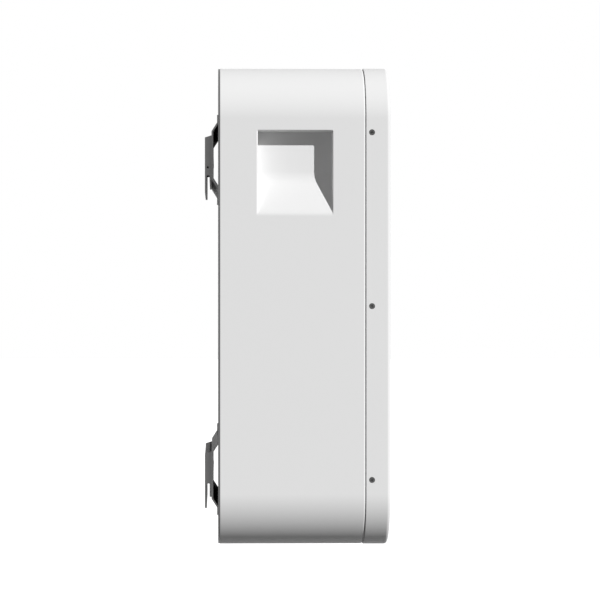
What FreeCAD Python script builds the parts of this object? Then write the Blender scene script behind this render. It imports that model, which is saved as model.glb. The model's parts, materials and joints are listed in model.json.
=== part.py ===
import FreeCAD, Part
import math
import os

from FreeCAD import Vector

# Wall-hung battery unit: a rounded sheet shell with a front cover and a back panel, hung on
# two folded rails, with 16 prismatic cells, a battery management board and a connection bay.
# +X is to the right of someone facing the unit, -Y is the front, +Y is the wall, +Z is up.
# All sizes are in millimetres.

# ---- Cabinet ----
unit_width = 450.0
unit_height = 650.0
corner_radius = 74.0
cover_depth = 32.75
cover_wall = 3.0
cover_front_round = 4.5
cover_rear_bevel = 0.6
seam_gap = 0.8
shell_depth = 194.45
shell_wall = 2.0
shell_inset = 0.5
shell_front_round = 2.4
shell_rear_bevel = 1.0
rear_flange_width = 16.0
collar_length = 16.0
collar_clearance = 0.5
gasket_thickness = 3.0
panel_thickness = 2.5
panel_inset = 0.4
panel_recess = 1.3
panel_rim_width = 22.0
back_screw_bite = 4.0
back_screw_share = 0.8

# ---- Cover screws: M4, countersunk, three on each side ----
m4_radius = 2.0
m4_head_radius = 3.95
cover_screw_inset = 7.75
cover_screw_from_end = 93.0
cover_screw_length = 11.0
clinch_nut_radius = 4.5
clinch_nut_height = 3.0
screw_sink = 0.2
hole_clearance = 0.1
pan_head_width = 1.8
pan_head_height = 1.1
pan_head_crown = 0.3

# ---- Hand pockets ----
pocket_width = 100.0
pocket_height = 111.5
pocket_depth = 26.0
pocket_from_top = 90.3
pocket_from_back = 53.3
pocket_ramp_height = 49.0
pocket_knee_radius = 36.0
pocket_edge_round = 1.0
pocket_sill_round = 12.0
cup_wall = 2.0
cup_flange = 10.0
cup_seal_thickness = 1.0

# ---- Hanging rails and hooks, folded from one sheet thickness ----
hanger_sheet = 2.5
fold_inside_radius = 0.8
rail_length = 290.0
rail_standoff = 10.2
rail_web_height = 66.0
rail_slope_height = 10.5
rail_flange_height = 11.0
upper_rail_from_top = 117.0
lower_rail_from_bottom = 93.0
hook_length = 210.0
hook_slot = 4.3
hook_leg_height = 76.0
hook_lip_height = 60.0
hook_crown_height = 27.0
hook_crown_rise = 3.0
hook_cheek_height = 42.0
rivet_radius = 2.0
rivet_head_radius = 3.5
rivet_tail_radius = 3.2
rivet_tail_height = 1.6
rivet_tail_bevel = 1.0
rivets_per_hook = 4
rivet_pitch = 56.0
m5_radius = 2.5
m5_head_radius = 4.6
rail_screw_pitch = 125.0
rail_screws_per_flange = 3
rail_screw_length = 10.0
rail_nut_height = 3.5

# ---- Connection bay in the underside ----
bay_width = 260.0
bay_depth = 120.0
bay_height = 46.0
bay_sheet = 1.5
bay_rim = 10.0
bay_from_back = 30.0
bay_side_gap = 8.0
bay_screw_radius = 1.5
bay_screw_head_radius = 2.8
bay_screw_length = 8.0
bay_screw_share = 0.4

# ---- Power sockets ----
socket_radius = 12.0
socket_bore_radius = 8.0
socket_length = 20.0
socket_bore_depth = 17.0
socket_flange = 28.0
socket_flange_thickness = 3.0
socket_neck_radius = 9.0
socket_neck_height = 12.0
socket_pitch = 34.0
socket_row_offset = 14.0
contact_radius = 3.0
contact_tip = 6.0
contact_stud_height = 12.0
link_bar_thickness = 2.0
link_bar_width = 14.0
link_nut_radius = 5.2
link_nut_height = 5.0

# ---- Communication ports ----
port_pitch = 17.0
port_width = 12.0
port_height = 8.5
port_depth = 13.0
port_wall = 2.5
port_proud = 2.0
port_key_width = 4.0
port_key_depth = 1.5
comm_board_thickness = 1.6
comm_board_margin = 4.0
comm_board_depth = 30.0

# ---- Power button ----
button_radius = 6.0
button_proud = 3.0
button_travel = 2.5
button_length = 9.0
button_play = 0.3
button_edge = 1.0
chamber_spare = 0.5
bezel_radius = 11.0
bezel_thickness = 2.5
barrel_radius = 8.0
barrel_height = 22.0
switch_nut_radius = 11.0
switch_nut_height = 3.0

# ---- Battery breaker ----
breaker_width = 36.0
breaker_length = 62.0
breaker_height = 64.0
nose_length = 44.0
nose_proud = 5.0
nose_inset = 2.0
nose_round = 1.5
lever_axis_rise = 8.0
lever_hub_radius = 7.0
lever_hub_width = 12.0
lever_reach = 19.0
lever_thickness = 3.0
lever_tilt = 25.0
lever_play = 0.3
lever_slot_share = 0.8
lever_shoulder = 1.0
lever_tip_round = 1.2
pin_radius = 1.5
pin_play = 0.05
pin_overlap = 5.0

# ---- Earth stud and vent ----
earth_radius = 3.0
earth_reach = 18.0
earth_flange_radius = 6.0
earth_flange_thickness = 3.0
earth_shank = 9.0
earth_tip_bevel = 0.8
earth_nut_radius = 5.6
earth_nut_height = 5.0
vent_radius = 9.0
vent_proud = 4.0
vent_thread_radius = 6.0
vent_thread_length = 6.0
vent_bevel = 1.5

# ---- Cells and their clamping ----
cell_width = 160.0
cell_thickness = 50.0
cell_depth = 118.0
cell_edge = 2.0
cells_above_clearance = 12.0
column_gap = 14.0
spacer_thickness = 1.0
end_plate_thickness = 10.0
end_plate_groove = 2.0
strap_thickness = 1.5
strap_width = 60.0
strap_screw_radius = 2.5
strap_screw_pitch = 36.0
screw_bite = 8.0
carrier_thickness = 2.0
carrier_standoff = 7.0
carrier_margin = 6.0
standoff_radius = 7.0
standoff_bite = 2.5
upper_standoff_share = 0.75
carrier_bolt_share = 0.6
carrier_window_pitch = 1.6
carrier_window_width = 1.4
carrier_screw_radius = 3.0
carrier_screw_head_radius = 5.0
module_rise = 132.0
terminal_width = 18.0
terminal_height = 3.0
terminal_spread = 112.0
busbar_thickness = 2.0
busbar_overhang = 2.0
shield_thickness = 1.5
shield_air = 6.0
shield_side = 4.0
shield_notch_spare = 2.0

# ---- Battery management board ----
board_width = 210.0
board_height = 92.0
board_thickness = 1.6
board_standoff = 8.0
board_rise = 12.0
board_edge = 6.0
board_corner = 3.0
board_standoff_radius = 3.75
board_screw_radius = 1.5
heatsink_width = 104.0
heatsink_height = 60.0
heatsink_base = 5.0
heatsink_fin = 1.6
heatsink_fins = 11
heatsink_depth = 24.0
transistor_height = 4.5
transistor_size = 10.0
capacitor_radius = 5.0
capacitor_height = 16.0
capacitor_count = 4
capacitor_pitch = 13.0
connector_height = 9.0
connector_width = 30.0
connector_depth = 8.0
connector_gap = 4.0
connector_wall = 1.5

# ---- Main fuse ----
fuse_radius = 13.0
fuse_length = 50.0
fuse_cap_length = 9.0
fuse_cap_wall = 1.0
fuse_base_margin = 6.0
fuse_base_height = 60.0
fuse_base_width = 24.0
fuse_base_thickness = 12.0
fuse_cradle_inset = 1.0
fuse_cradle_wall = 4.0

# ---- Status light in the front cover ----
light_width = 60.0
light_height = 5.0
light_from_top = 120.0
light_lip = 4.0
light_lip_thickness = 2.0
light_board_width = 96.0
light_board_height = 16.0
light_boss_radius = 4.0
light_screw_radius = 1.25
led_count = 5
led_size = 3.0
led_height = 1.2
led_air = 0.3

# ---- Places that follow from those sizes ----
hanger_reach = rail_standoff - panel_recess + 2 * hanger_sheet + hook_slot
total_depth = cover_depth + seam_gap + shell_depth + panel_thickness + hanger_reach
front_y = -total_depth / 2
cover_back = front_y + cover_depth
shell_front = cover_back + seam_gap
shell_back = shell_front + shell_depth
panel_back = shell_back + panel_thickness
recess_front = shell_back - panel_recess
recess_back = panel_back - panel_recess
mid_z = unit_height / 2

shell_width = unit_width - 2 * shell_inset
shell_height = unit_height - 2 * shell_inset
shell_radius = corner_radius - shell_inset
shell_floor = shell_inset + shell_wall
cover_step = cover_wall + collar_clearance
collar_width = unit_width - 2 * cover_step
collar_height = unit_height - 2 * cover_step
collar_radius = corner_radius - cover_step
collar_front = shell_front - collar_length
gasket_front = collar_front - gasket_thickness
cover_inside = front_y + cover_wall

bay_mid_y = shell_back - bay_from_back - bay_depth / 2
bay_ceiling = shell_inset + bay_height
bay_top = bay_ceiling + bay_sheet
socket_y = bay_mid_y + socket_row_offset
control_y = bay_mid_y - bay_depth / 4
first_socket_x = -bay_width / 2 + socket_flange / 2 + bay_side_gap
sockets_end = first_socket_x + 3 * socket_pitch + socket_flange / 2
breaker_x = bay_width / 2 - breaker_width / 2 - bay_side_gap
port_space = breaker_x - breaker_width / 2 - sockets_end - 2 * comm_board_margin
port_count = int((port_space - port_wall) / port_pitch)
port_x = (sockets_end + breaker_x - breaker_width / 2) / 2
earth_x = first_socket_x
vent_x = first_socket_x + 2 * socket_pitch

carrier_back = recess_front - carrier_standoff
carrier_front = carrier_back - carrier_thickness
cell_front = carrier_front - cell_depth
cell_pitch = cell_thickness + spacer_thickness
plate_width = cell_width
module_bottom = bay_top + module_rise
stack_bottom = module_bottom + end_plate_thickness
stack_limit = unit_height - shell_floor - cells_above_clearance - end_plate_thickness
cells_per_column = int((stack_limit - stack_bottom - spacer_thickness) / cell_pitch)
stack_height = cells_per_column * cell_pitch + spacer_thickness
stack_top = stack_bottom + stack_height
module_top = stack_top + end_plate_thickness
column_x = column_gap / 2 + cell_width / 2
module_mid_y = carrier_front - cell_depth / 2
carrier_half_width = column_x + cell_width / 2 + strap_thickness
board_bottom = bay_top + board_rise
board_back = carrier_front - board_standoff
board_front = board_back - board_thickness
board_x = carrier_half_width - 2 * standoff_radius - 2 * carrier_margin - board_width / 2
board_mid_z = board_bottom + board_height / 2
fuse_x = -carrier_half_width + fuse_length / 2 + carrier_margin + fuse_base_width / 4
carrier_bottom = board_bottom - carrier_margin
carrier_top = module_top + carrier_margin

UP = Vector(0, 0, 1)
DOWN = Vector(0, 0, -1)
BACK = Vector(0, 1, 0)
FRONT = Vector(0, -1, 0)
MARGIN = 1.0
FASTENER_SIDES = 8


# ---- Shape helpers ----
def block(x, y, z):
    """Box between two x, two y and two z places."""
    size = (x[1] - x[0], y[1] - y[0], z[1] - z[0])
    return Part.makeBox(*size, Vector(x[0], y[0], z[0]))


def centred(x, y, z, width, depth, height):
    """Box given by its centre and size."""
    corner = Vector(x - width / 2, y - depth / 2, z - height / 2)
    return Part.makeBox(width, depth, height, corner)


def edges_along(shape, axis):
    """Straight edges parallel to axis 0, 1 or 2."""
    found = []
    for edge in shape.Edges:
        if len(edge.Vertexes) != 2:
            continue
        step = edge.Vertexes[1].Point - edge.Vertexes[0].Point
        if abs(abs(step[axis]) - edge.Length) < 1e-6:
            found.append(edge)
    return found


def edges_at(shape, axis, place):
    """Edges that lie in the plane where one coordinate has a given value."""
    found = []
    for edge in shape.Edges:
        points = edge.discretize(3)
        if all(abs(point[axis] - place) < 1e-4 for point in points):
            found.append(edge)
    return found


def slab(width, height, radius, front, back, z=mid_z):
    """Rounded rectangle, as seen from the front, between two depths."""
    box = block((-width / 2, width / 2), (front, back), (z - height / 2, z + height / 2))
    return box.makeFillet(radius, edges_along(box, 1))


def ring(width, height, radius, wall, front, back):
    """Frame of one wall thickness between two depths."""
    outer = slab(width, height, radius, front, back)
    hole = slab(width - 2 * wall, height - 2 * wall, radius - wall, front - MARGIN, back + MARGIN)
    return outer.cut(hole)


def turned(stations, start, direction):
    """Solid of revolution through (distance along the axis, radius) stations."""
    points = [Vector(radius, 0, along) for along, radius in stations]
    points.insert(0, Vector(0, 0, stations[0][0]))
    points.append(Vector(0, 0, stations[-1][0]))
    points.append(points[0])
    face = Part.Face(Part.makePolygon(points))
    solid = face.revolve(Vector(0, 0, 0), UP, 360)
    solid.Placement = FreeCAD.Placement(start, FreeCAD.Rotation(UP, direction))
    return solid


def rod(radius, length, start, direction):
    return Part.makeCylinder(radius, length, start, direction)


def corners(sides, radius, along):
    """Corners of a regular polygon, square to the Z axis."""
    angles = [2 * math.pi * step / sides for step in range(sides)]
    return [Vector(radius * math.cos(angle), radius * math.sin(angle), along) for angle in angles]


def faceted(stations, start, direction, sides=FASTENER_SIDES):
    """Many-sided solid through (distance along the axis, corner radius) stations."""
    loops = [corners(sides, radius, along) for along, radius in stations]
    faces = [Part.Face(Part.makePolygon(loop + loop[:1])) for loop in (loops[0], loops[-1])]
    for low, high in zip(loops, loops[1:]):
        for index in range(sides):
            after = (index + 1) % sides
            points = [low[index], low[after], high[after], high[index], low[index]]
            faces.append(Part.Face(Part.makePolygon(points)))
    solid = Part.Solid(Part.makeShell(faces))
    if solid.Volume < 0:
        solid.reverse()
    solid.Placement = FreeCAD.Placement(start, FreeCAD.Rotation(UP, direction))
    return solid


def hexagon(radius, height, start, direction, bore):
    """Hexagonal nut of a given corner radius, with a plain bore."""
    nut = faceted([(0, radius), (height, radius)], start, direction, 6)
    hole_start = start - direction * MARGIN
    corner = bore / math.cos(math.pi / FASTENER_SIDES)
    return nut.cut(faceted([(0, corner), (height + 2 * MARGIN, corner)], hole_start, direction))


def flush_screw(mouth, direction, radius, head_radius, length, grow=0.0):
    """Countersunk screw from the plane of its head; with grow, the hole for it."""
    cone = head_radius - radius
    stations = [(0, head_radius + grow), (cone, radius + grow), (length + grow, radius + grow)]
    if grow:
        stations.insert(0, (-MARGIN, head_radius + grow))
    return faceted(stations, mouth, direction)


def pan_screw(seat, direction, radius, length):
    """Pan-head screw whose head rests on its seat."""
    head_radius = pan_head_width * radius
    head_height = pan_head_height * radius
    crown = pan_head_crown * radius
    stations = [(-head_height, head_radius - crown), (0, head_radius), (0, radius), (length, radius)]
    return faceted(stations, seat, direction)


def screw_hole(seat, direction, radius, length):
    """Clearance hole for a screw, a little longer than the screw itself."""
    start = seat - direction * MARGIN
    hole_radius = radius + hole_clearance
    return faceted([(0, hole_radius), (length + 2 * MARGIN, hole_radius)], start, direction)


def path_with_arcs(points, radii):
    """Edges along points given as (y, z), with an arc of its own radius at each inner point."""
    flat = [Vector(0, y, z) for y, z in points]
    edges = []
    start = flat[0]
    for index in range(1, len(flat) - 1):
        corner = flat[index]
        inward = (flat[index - 1] - corner).normalize()
        outward = (flat[index + 1] - corner).normalize()
        half_angle = inward.getAngle(outward) / 2
        tangent = radii[index - 1] / math.tan(half_angle)
        middle = (inward + outward).normalize()
        centre = corner + middle * (radii[index - 1] / math.sin(half_angle))
        arc_start = corner + inward * tangent
        arc_end = corner + outward * tangent
        arc_middle = centre - middle * radii[index - 1]
        edges.append(Part.makeLine(start, arc_start))
        edges.append(Part.Arc(arc_start, arc_middle, arc_end).toShape())
        start = arc_end
    edges.append(Part.makeLine(start, flat[-1]))
    return edges


def offset_points(points, distance):
    """Points (y, z) moved sideways, to the left of the way they run, with mitred corners."""
    moved = []
    count = len(points)
    for index in range(count):
        normals = []
        for first in (index - 1, index):
            if 0 <= first < count - 1:
                dy = points[first + 1][0] - points[first][0]
                dz = points[first + 1][1] - points[first][1]
                length = math.hypot(dy, dz)
                normals.append((-dz / length, dy / length))
        ny = sum(normal[0] for normal in normals) / len(normals)
        nz = sum(normal[1] for normal in normals) / len(normals)
        scale = distance / (ny * ny + nz * nz)
        moved.append((points[index][0] + ny * scale, points[index][1] + nz * scale))
    return moved


def folded_sheet(points, thickness, x_from, x_to):
    """Sheet folded along points (y, z), its thickness to the left of the way they run."""
    left = offset_points(points, thickness)
    right_radii = []
    left_radii = []
    for index in range(1, len(points) - 1):
        before = (points[index][0] - points[index - 1][0], points[index][1] - points[index - 1][1])
        after = (points[index + 1][0] - points[index][0], points[index + 1][1] - points[index][1])
        turns_left = before[0] * after[1] - before[1] * after[0] > 0
        right_radii.append(fold_inside_radius + (thickness if turns_left else 0))
        left_radii.append(fold_inside_radius + (0 if turns_left else thickness))
    edges = path_with_arcs(points, right_radii)
    edges.append(Part.makeLine(Vector(0, *points[-1]), Vector(0, *left[-1])))
    edges.extend(path_with_arcs(left[::-1], left_radii[::-1]))
    edges.append(Part.makeLine(Vector(0, *left[0]), Vector(0, *points[0])))
    wire = Part.Wire(Part.__sortEdges__(edges))
    sheet = Part.Face(wire).extrude(Vector(x_to - x_from, 0, 0))
    sheet.translate(Vector(x_from, 0, 0))
    return sheet


def mirrored(shape):
    return shape.mirror(Vector(0, 0, 0), Vector(1, 0, 0))


def cut_all(shape, tools):
    return shape.cut(Part.makeCompound(tools)) if tools else shape


def save(name, *solids):
    """Writes one node; several solids stay apart in one group."""
    solids = [solid for group in solids for solid in group.Solids]
    shape = solids[0] if len(solids) == 1 else Part.makeCompound(solids)
    shape.exportStep("parts/" + name + ".step")


def spread(count, pitch):
    """Places of a row, centred on zero."""
    return [(index - (count - 1) / 2) * pitch for index in range(count)]


# ---- Places of the fasteners that pass through more than one piece ----
def cover_screw_places():
    """(x side, z) of the cover screws, three up each side, all on its straight part."""
    heights = spread(3, mid_z - cover_screw_from_end)
    return [(side, mid_z + z) for side in (-1, 1) for z in heights]


def back_screw_places():
    """(x, z) of the screws round the back panel, on the middle of the shell's rear flange."""
    inset = rear_flange_width / 2
    side_x = shell_width / 2 - inset
    top_z = shell_height / 2 - inset
    straight_height = shell_height - 2 * shell_radius
    straight_width = shell_width - 2 * shell_radius
    sides = [(sign * side_x, z) for sign in (-1, 1) for z in spread(4, straight_height / 3)]
    columns = spread(2, straight_width * back_screw_share)
    ends = [(x, sign * top_z) for sign in (-1, 1) for x in columns]
    return [(x, mid_z + z) for x, z in sides + ends]


def rail_heights():
    return unit_height - upper_rail_from_top, lower_rail_from_bottom


def rail_screw_places(rail_z):
    """(x, z) of the screws in the two flanges of one rail."""
    half_height = rail_web_height / 2 + rail_slope_height
    flange_z = half_height + rail_flange_height / 2
    columns = spread(rail_screws_per_flange, rail_screw_pitch)
    return [(x, rail_z + sign * flange_z) for sign in (-1, 1) for x in columns]


def rivet_places():
    return spread(rivets_per_hook, rivet_pitch)


def standoff_places():
    """(x, z) of the six standoffs between the back panel and the carrier."""
    x = carrier_half_width - standoff_radius - carrier_margin
    low = carrier_bottom + standoff_radius + carrier_margin
    high = module_bottom + upper_standoff_share * (module_top - module_bottom)
    return [(sign * x, z) for sign in (-1, 1) for z in (low, (low + high) / 2, high)]


def bay_screw_places():
    """(x, y) of the screws round the bay's mouth."""
    x = bay_width / 2 + bay_rim / 2
    y = bay_depth / 2 + bay_rim / 2
    columns = spread(3, bay_width * bay_screw_share)
    long_sides = [(column, bay_mid_y + sign * y) for sign in (-1, 1) for column in columns]
    short_sides = [(sign * x, bay_mid_y) for sign in (-1, 1)]
    return long_sides + short_sides


def socket_places():
    """x of the two positive sockets, then of the two negative ones."""
    return [first_socket_x + index * socket_pitch for index in range(4)]


# ---- Cabinet ----
def pocket_form(grow):
    """Space of the hand pocket on the -X side, made larger all round by grow."""
    outside = -shell_width / 2
    floor = outside + pocket_depth + grow
    top = unit_height - pocket_from_top + grow
    bottom = unit_height - pocket_from_top - pocket_height
    angle = math.atan2(pocket_depth, pocket_ramp_height)
    drop = grow / math.sin(angle)
    knee = bottom - drop + (pocket_depth + grow) / math.tan(angle)
    lead = MARGIN / math.tan(angle)
    points = [
        Vector(outside - MARGIN, 0, top),
        Vector(floor, 0, top),
        Vector(floor, 0, knee),
        Vector(outside - MARGIN, 0, bottom - drop - lead),
    ]
    points.append(points[0])
    back = panel_back - pocket_from_back + grow
    front = panel_back - pocket_from_back - pocket_width - grow
    form = Part.Face(Part.makePolygon(points)).extrude(Vector(0, back - front, 0))
    form.translate(Vector(0, front, 0))
    knee_edges = []
    for edge in edges_along(form, 1):
        point = edge.Vertexes[0].Point
        if abs(point.x - floor) < 1e-6 and abs(point.z - knee) < 1e-6:
            knee_edges.append(edge)
    return form.makeFillet(pocket_knee_radius + grow, knee_edges)


def ease_pocket_mouth(shell):
    """Rounds the mouth of the -X pocket: a soft sill below, a small radius on the rest."""
    top = unit_height - pocket_from_top
    bottom = top - pocket_height

    def mouth_edges(low, high):
        found = []
        for edge in edges_at(shell, 0, -shell_width / 2):
            middle = edge.discretize(3)[1]
            if low < middle.z < high and edge.Length < 2 * pocket_height:
                found.append(edge)
        return found

    shell = shell.makeFillet(pocket_sill_round, mouth_edges(bottom - MARGIN, bottom + MARGIN))
    return shell.makeFillet(pocket_edge_round, mouth_edges(bottom + MARGIN, top + MARGIN))


def main_shell():
    """Sleeve with a joggled collar in front and a flange behind."""
    body = slab(shell_width, shell_height, shell_radius, shell_front, shell_back)
    body = body.makeFillet(shell_front_round, edges_at(body, 1, shell_front))
    body = body.makeChamfer(shell_rear_bevel, edges_at(body, 1, shell_back))
    collar = slab(collar_width, collar_height, collar_radius, collar_front, shell_front + shell_wall)
    inner_width = shell_width - 2 * shell_wall
    inner_height = shell_height - 2 * shell_wall
    inner_radius = shell_radius - shell_wall
    inner_front = shell_front + shell_wall
    inner_back = shell_back - shell_wall
    hollow = slab(inner_width, inner_height, inner_radius, inner_front, inner_back)
    mouth = slab(
        collar_width - 2 * shell_wall,
        collar_height - 2 * shell_wall,
        collar_radius - shell_wall,
        collar_front - MARGIN,
        shell_front + 2 * shell_wall,
    )
    rear = slab(
        shell_width - 2 * rear_flange_width,
        shell_height - 2 * rear_flange_width,
        shell_radius - rear_flange_width,
        shell_back - 2 * shell_wall,
        shell_back + MARGIN,
    )
    shell = body.fuse(collar).cut(hollow).cut(mouth).cut(rear).removeSplitter()
    pocket = pocket_form(0)
    shell = ease_pocket_mouth(shell.cut(pocket))
    shell = mirrored(ease_pocket_mouth(mirrored(shell).cut(pocket)))
    tools = []
    for side, z in cover_screw_places():
        start = Vector(side * collar_width / 2, front_y + cover_depth - cover_screw_inset, z)
        tools.append(screw_hole(start, Vector(-side, 0, 0), m4_radius, shell_wall))
    for x, z in back_screw_places():
        tools.append(screw_hole(Vector(x, shell_back, z), FRONT, m4_radius, shell_wall))
    bay_mouth = centred(0, bay_mid_y, 0, bay_width, bay_depth, 3 * shell_floor)
    bay_mouth = bay_mouth.makeFillet(bay_sheet, edges_along(bay_mouth, 2))
    tools.append(bay_mouth)
    for x, y in bay_screw_places():
        seat = Vector(x, y, shell_inset)
        tools.append(
            flush_screw(seat, UP, bay_screw_radius, bay_screw_head_radius, bay_screw_length, hole_clearance)
        )
    return cut_all(shell, tools)


def front_cover():
    """Rounded pan with a rib that presses the gasket and two bosses for the status board."""
    outer = slab(unit_width, unit_height, corner_radius, front_y, cover_back)
    outer = outer.makeFillet(cover_front_round, edges_at(outer, 1, front_y))
    outer = outer.makeChamfer(cover_rear_bevel, edges_at(outer, 1, cover_back))
    hollow = slab(
        unit_width - 2 * cover_wall,
        unit_height - 2 * cover_wall,
        corner_radius - cover_wall,
        cover_inside,
        cover_back + MARGIN,
    )
    rib = ring(collar_width, collar_height, collar_radius, shell_wall, cover_inside, gasket_front)
    cover = outer.cut(hollow).fuse(rib)
    tools = [light_window(light_width, light_height, front_y - MARGIN, cover_inside + MARGIN)]
    for x in light_boss_places():
        start = Vector(x, cover_inside, light_z())
        boss = rod(light_boss_radius, light_lip_thickness, start, BACK)
        cover = cover.fuse(boss)
        bore = light_screw_radius + hole_clearance
        tools.append(faceted([(0, bore), (light_lip_thickness, bore)], start, BACK))
    for side, z in cover_screw_places():
        seat = Vector(side * (unit_width / 2 - screw_sink), cover_back - cover_screw_inset, z)
        tools.append(
            flush_screw(
                seat, Vector(-side, 0, 0), m4_radius, m4_head_radius, cover_screw_length, hole_clearance
            )
        )
    return cut_all(cover, tools)


def cover_screws():
    screws = []
    for side, z in cover_screw_places():
        seat = Vector(side * (unit_width / 2 - screw_sink), cover_back - cover_screw_inset, z)
        inward = Vector(-side, 0, 0)
        screws.append(flush_screw(seat, inward, m4_radius, m4_head_radius, cover_screw_length))
    return screws


def cover_nuts():
    """Clinch nuts pressed on the inside of the collar, one behind each cover screw."""
    nuts = []
    for side, z in cover_screw_places():
        start = Vector(side * (collar_width / 2 - shell_wall), cover_back - cover_screw_inset, z)
        inward = Vector(-side, 0, 0)
        nut = faceted([(0, clinch_nut_radius), (clinch_nut_height, clinch_nut_radius)], start, inward)
        nuts.append(nut.cut(screw_hole(start, inward, m4_radius, clinch_nut_height)))
    return nuts


def back_panel():
    """Sheet with a flat rim on the shell and a middle pressed in, which carries the rails."""
    panel = slab(
        shell_width - 2 * panel_inset,
        shell_height - 2 * panel_inset,
        shell_radius - panel_inset,
        shell_back,
        panel_back,
    )
    recess_width = shell_width - 2 * panel_rim_width
    recess_height = shell_height - 2 * panel_rim_width
    recess_radius = shell_radius - panel_rim_width
    wall = 2 * panel_thickness
    outer_radius = recess_radius + panel_thickness
    pressed = slab(recess_width + wall, recess_height + wall, outer_radius, recess_front, panel_back)
    hollow = slab(recess_width, recess_height, recess_radius, recess_back, panel_back + MARGIN)
    panel = panel.fuse(pressed).cut(hollow).removeSplitter()
    tools = []
    for x, z in back_screw_places():
        seat = Vector(x, panel_back, z)
        length = panel_thickness + shell_wall
        tools.append(flush_screw(seat, FRONT, m4_radius, m4_head_radius, length, hole_clearance))
    for rail_z in rail_heights():
        for x, z in rail_screw_places(rail_z):
            tools.append(screw_hole(Vector(x, recess_back, z), FRONT, m5_radius, panel_thickness))
    for x, z in standoff_places():
        start = Vector(x, recess_back, z)
        tools.append(
            flush_screw(
                start,
                FRONT,
                carrier_screw_radius,
                carrier_screw_head_radius,
                panel_thickness,
                hole_clearance,
            )
        )
    return cut_all(panel, tools)


def back_panel_screws():
    length = panel_thickness + shell_wall + back_screw_bite
    return [
        flush_screw(Vector(x, panel_back, z), FRONT, m4_radius, m4_head_radius, length)
        for x, z in back_screw_places()
    ]


def handle_cup():
    """Moulded cup behind the -X pocket, with a flange that seals on the shell's inside."""
    inner_face = -shell_width / 2 + shell_wall
    flange_back = inner_face + cup_seal_thickness + cup_wall
    middle_y = panel_back - pocket_from_back - pocket_width / 2
    middle_z = unit_height - pocket_from_top - pocket_height / 2
    flange = centred(
        inner_face + cup_seal_thickness + cup_wall / 2,
        middle_y,
        middle_z,
        cup_wall,
        pocket_width + 2 * (cup_wall + cup_flange),
        pocket_height + 2 * (cup_wall + cup_flange),
    )
    flange = flange.makeFillet(cup_flange / 2, edges_along(flange, 0))
    inside_only = block(
        (inner_face, 0),
        (middle_y - pocket_width, middle_y + pocket_width),
        (middle_z - pocket_height, middle_z + pocket_height),
    )
    bowl = pocket_form(cup_wall).common(inside_only)
    return bowl.fuse(flange).cut(pocket_form(0)).removeSplitter()


def cup_seal():
    """Foam ring between the cup's flange and the shell."""
    inner_face = -shell_width / 2 + shell_wall
    middle_y = panel_back - pocket_from_back - pocket_width / 2
    middle_z = unit_height - pocket_from_top - pocket_height / 2
    seal = centred(
        inner_face + cup_seal_thickness / 2,
        middle_y,
        middle_z,
        cup_seal_thickness,
        pocket_width + 2 * (cup_wall + cup_flange),
        pocket_height + 2 * (cup_wall + cup_flange),
    )
    return seal.cut(pocket_form(cup_wall))


# ---- Hanging rails and hooks ----
def hanger_rail(rail_z):
    """Hat section with two screw flanges, hung crosswise on the back panel."""
    web = rail_web_height / 2
    slope = web + rail_slope_height
    edge = slope + rail_flange_height
    near = recess_back
    far = recess_back + rail_standoff - hanger_sheet
    points = [
        (near, rail_z + edge),
        (near, rail_z + slope),
        (far, rail_z + web),
        (far, rail_z - web),
        (near, rail_z - slope),
        (near, rail_z - edge),
    ]
    rail = folded_sheet(points, hanger_sheet, -rail_length / 2, rail_length / 2)
    tools = []
    for x, z in rail_screw_places(rail_z):
        mouth = Vector(x, recess_back + hanger_sheet, z)
        depth = hanger_sheet + MARGIN
        tools.append(flush_screw(mouth, FRONT, m5_radius, m5_head_radius, depth, hole_clearance))
    for x in rivet_places():
        start = Vector(x, recess_back + rail_standoff, rail_z)
        tools.append(screw_hole(start, FRONT, rivet_radius, hanger_sheet))
    return cut_all(rail, tools)


def hook_bracket(rail_z):
    """Upside-down U that drops over the edge of a wall plate, with a cheek at each end."""
    lip_y = recess_back + rail_standoff
    leg_y = lip_y + hanger_sheet + hook_slot + hanger_sheet
    crown = rail_z + hook_crown_height
    points = [
        (leg_y, crown - hook_leg_height),
        (leg_y, crown),
        (lip_y, crown + hook_crown_rise),
        (lip_y, crown + hook_crown_rise - hook_lip_height),
    ]
    hook = folded_sheet(points, hanger_sheet, -hook_length / 2, hook_length / 2)
    low = crown - hook_cheek_height
    rear_edge = [(leg_y, low), (leg_y, crown)]
    front_edge = [(lip_y, crown + hook_crown_rise), (lip_y, low)]
    cheek_corners = [Vector(0, y, z) for y, z in rear_edge + front_edge + rear_edge[:1]]
    outline = Part.Face(Part.makePolygon(cheek_corners))
    for start_x in (-hook_length / 2, hook_length / 2 - hanger_sheet):
        cheek = outline.extrude(Vector(hanger_sheet, 0, 0))
        cheek.translate(Vector(start_x, 0, 0))
        hook = hook.fuse(cheek)
    tools = []
    for x in rivet_places():
        seat = Vector(x, lip_y + hanger_sheet, rail_z)
        tools.append(
            flush_screw(seat, FRONT, rivet_radius, rivet_head_radius, 2 * hanger_sheet, hole_clearance)
        )
    return cut_all(hook.removeSplitter(), tools)


def hook_rivets():
    """Rivets with flush heads in the lip and formed tails behind the rail's web."""
    rivets = []
    sheets = 2 * hanger_sheet
    cone = rivet_head_radius - rivet_radius
    stations = [
        (0, rivet_head_radius),
        (cone, rivet_radius),
        (sheets, rivet_radius),
        (sheets, rivet_tail_radius),
        (sheets + rivet_tail_height, rivet_tail_radius - rivet_tail_bevel),
    ]
    for rail_z in rail_heights():
        for x in rivet_places():
            head = Vector(x, recess_back + rail_standoff + hanger_sheet, rail_z)
            rivets.append(faceted(stations, head, FRONT))
    return rivets


def rail_screws():
    screws = []
    for rail_z in rail_heights():
        for x, z in rail_screw_places(rail_z):
            mouth = Vector(x, recess_back + hanger_sheet, z)
            screws.append(flush_screw(mouth, FRONT, m5_radius, m5_head_radius, rail_screw_length))
    return screws


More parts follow.
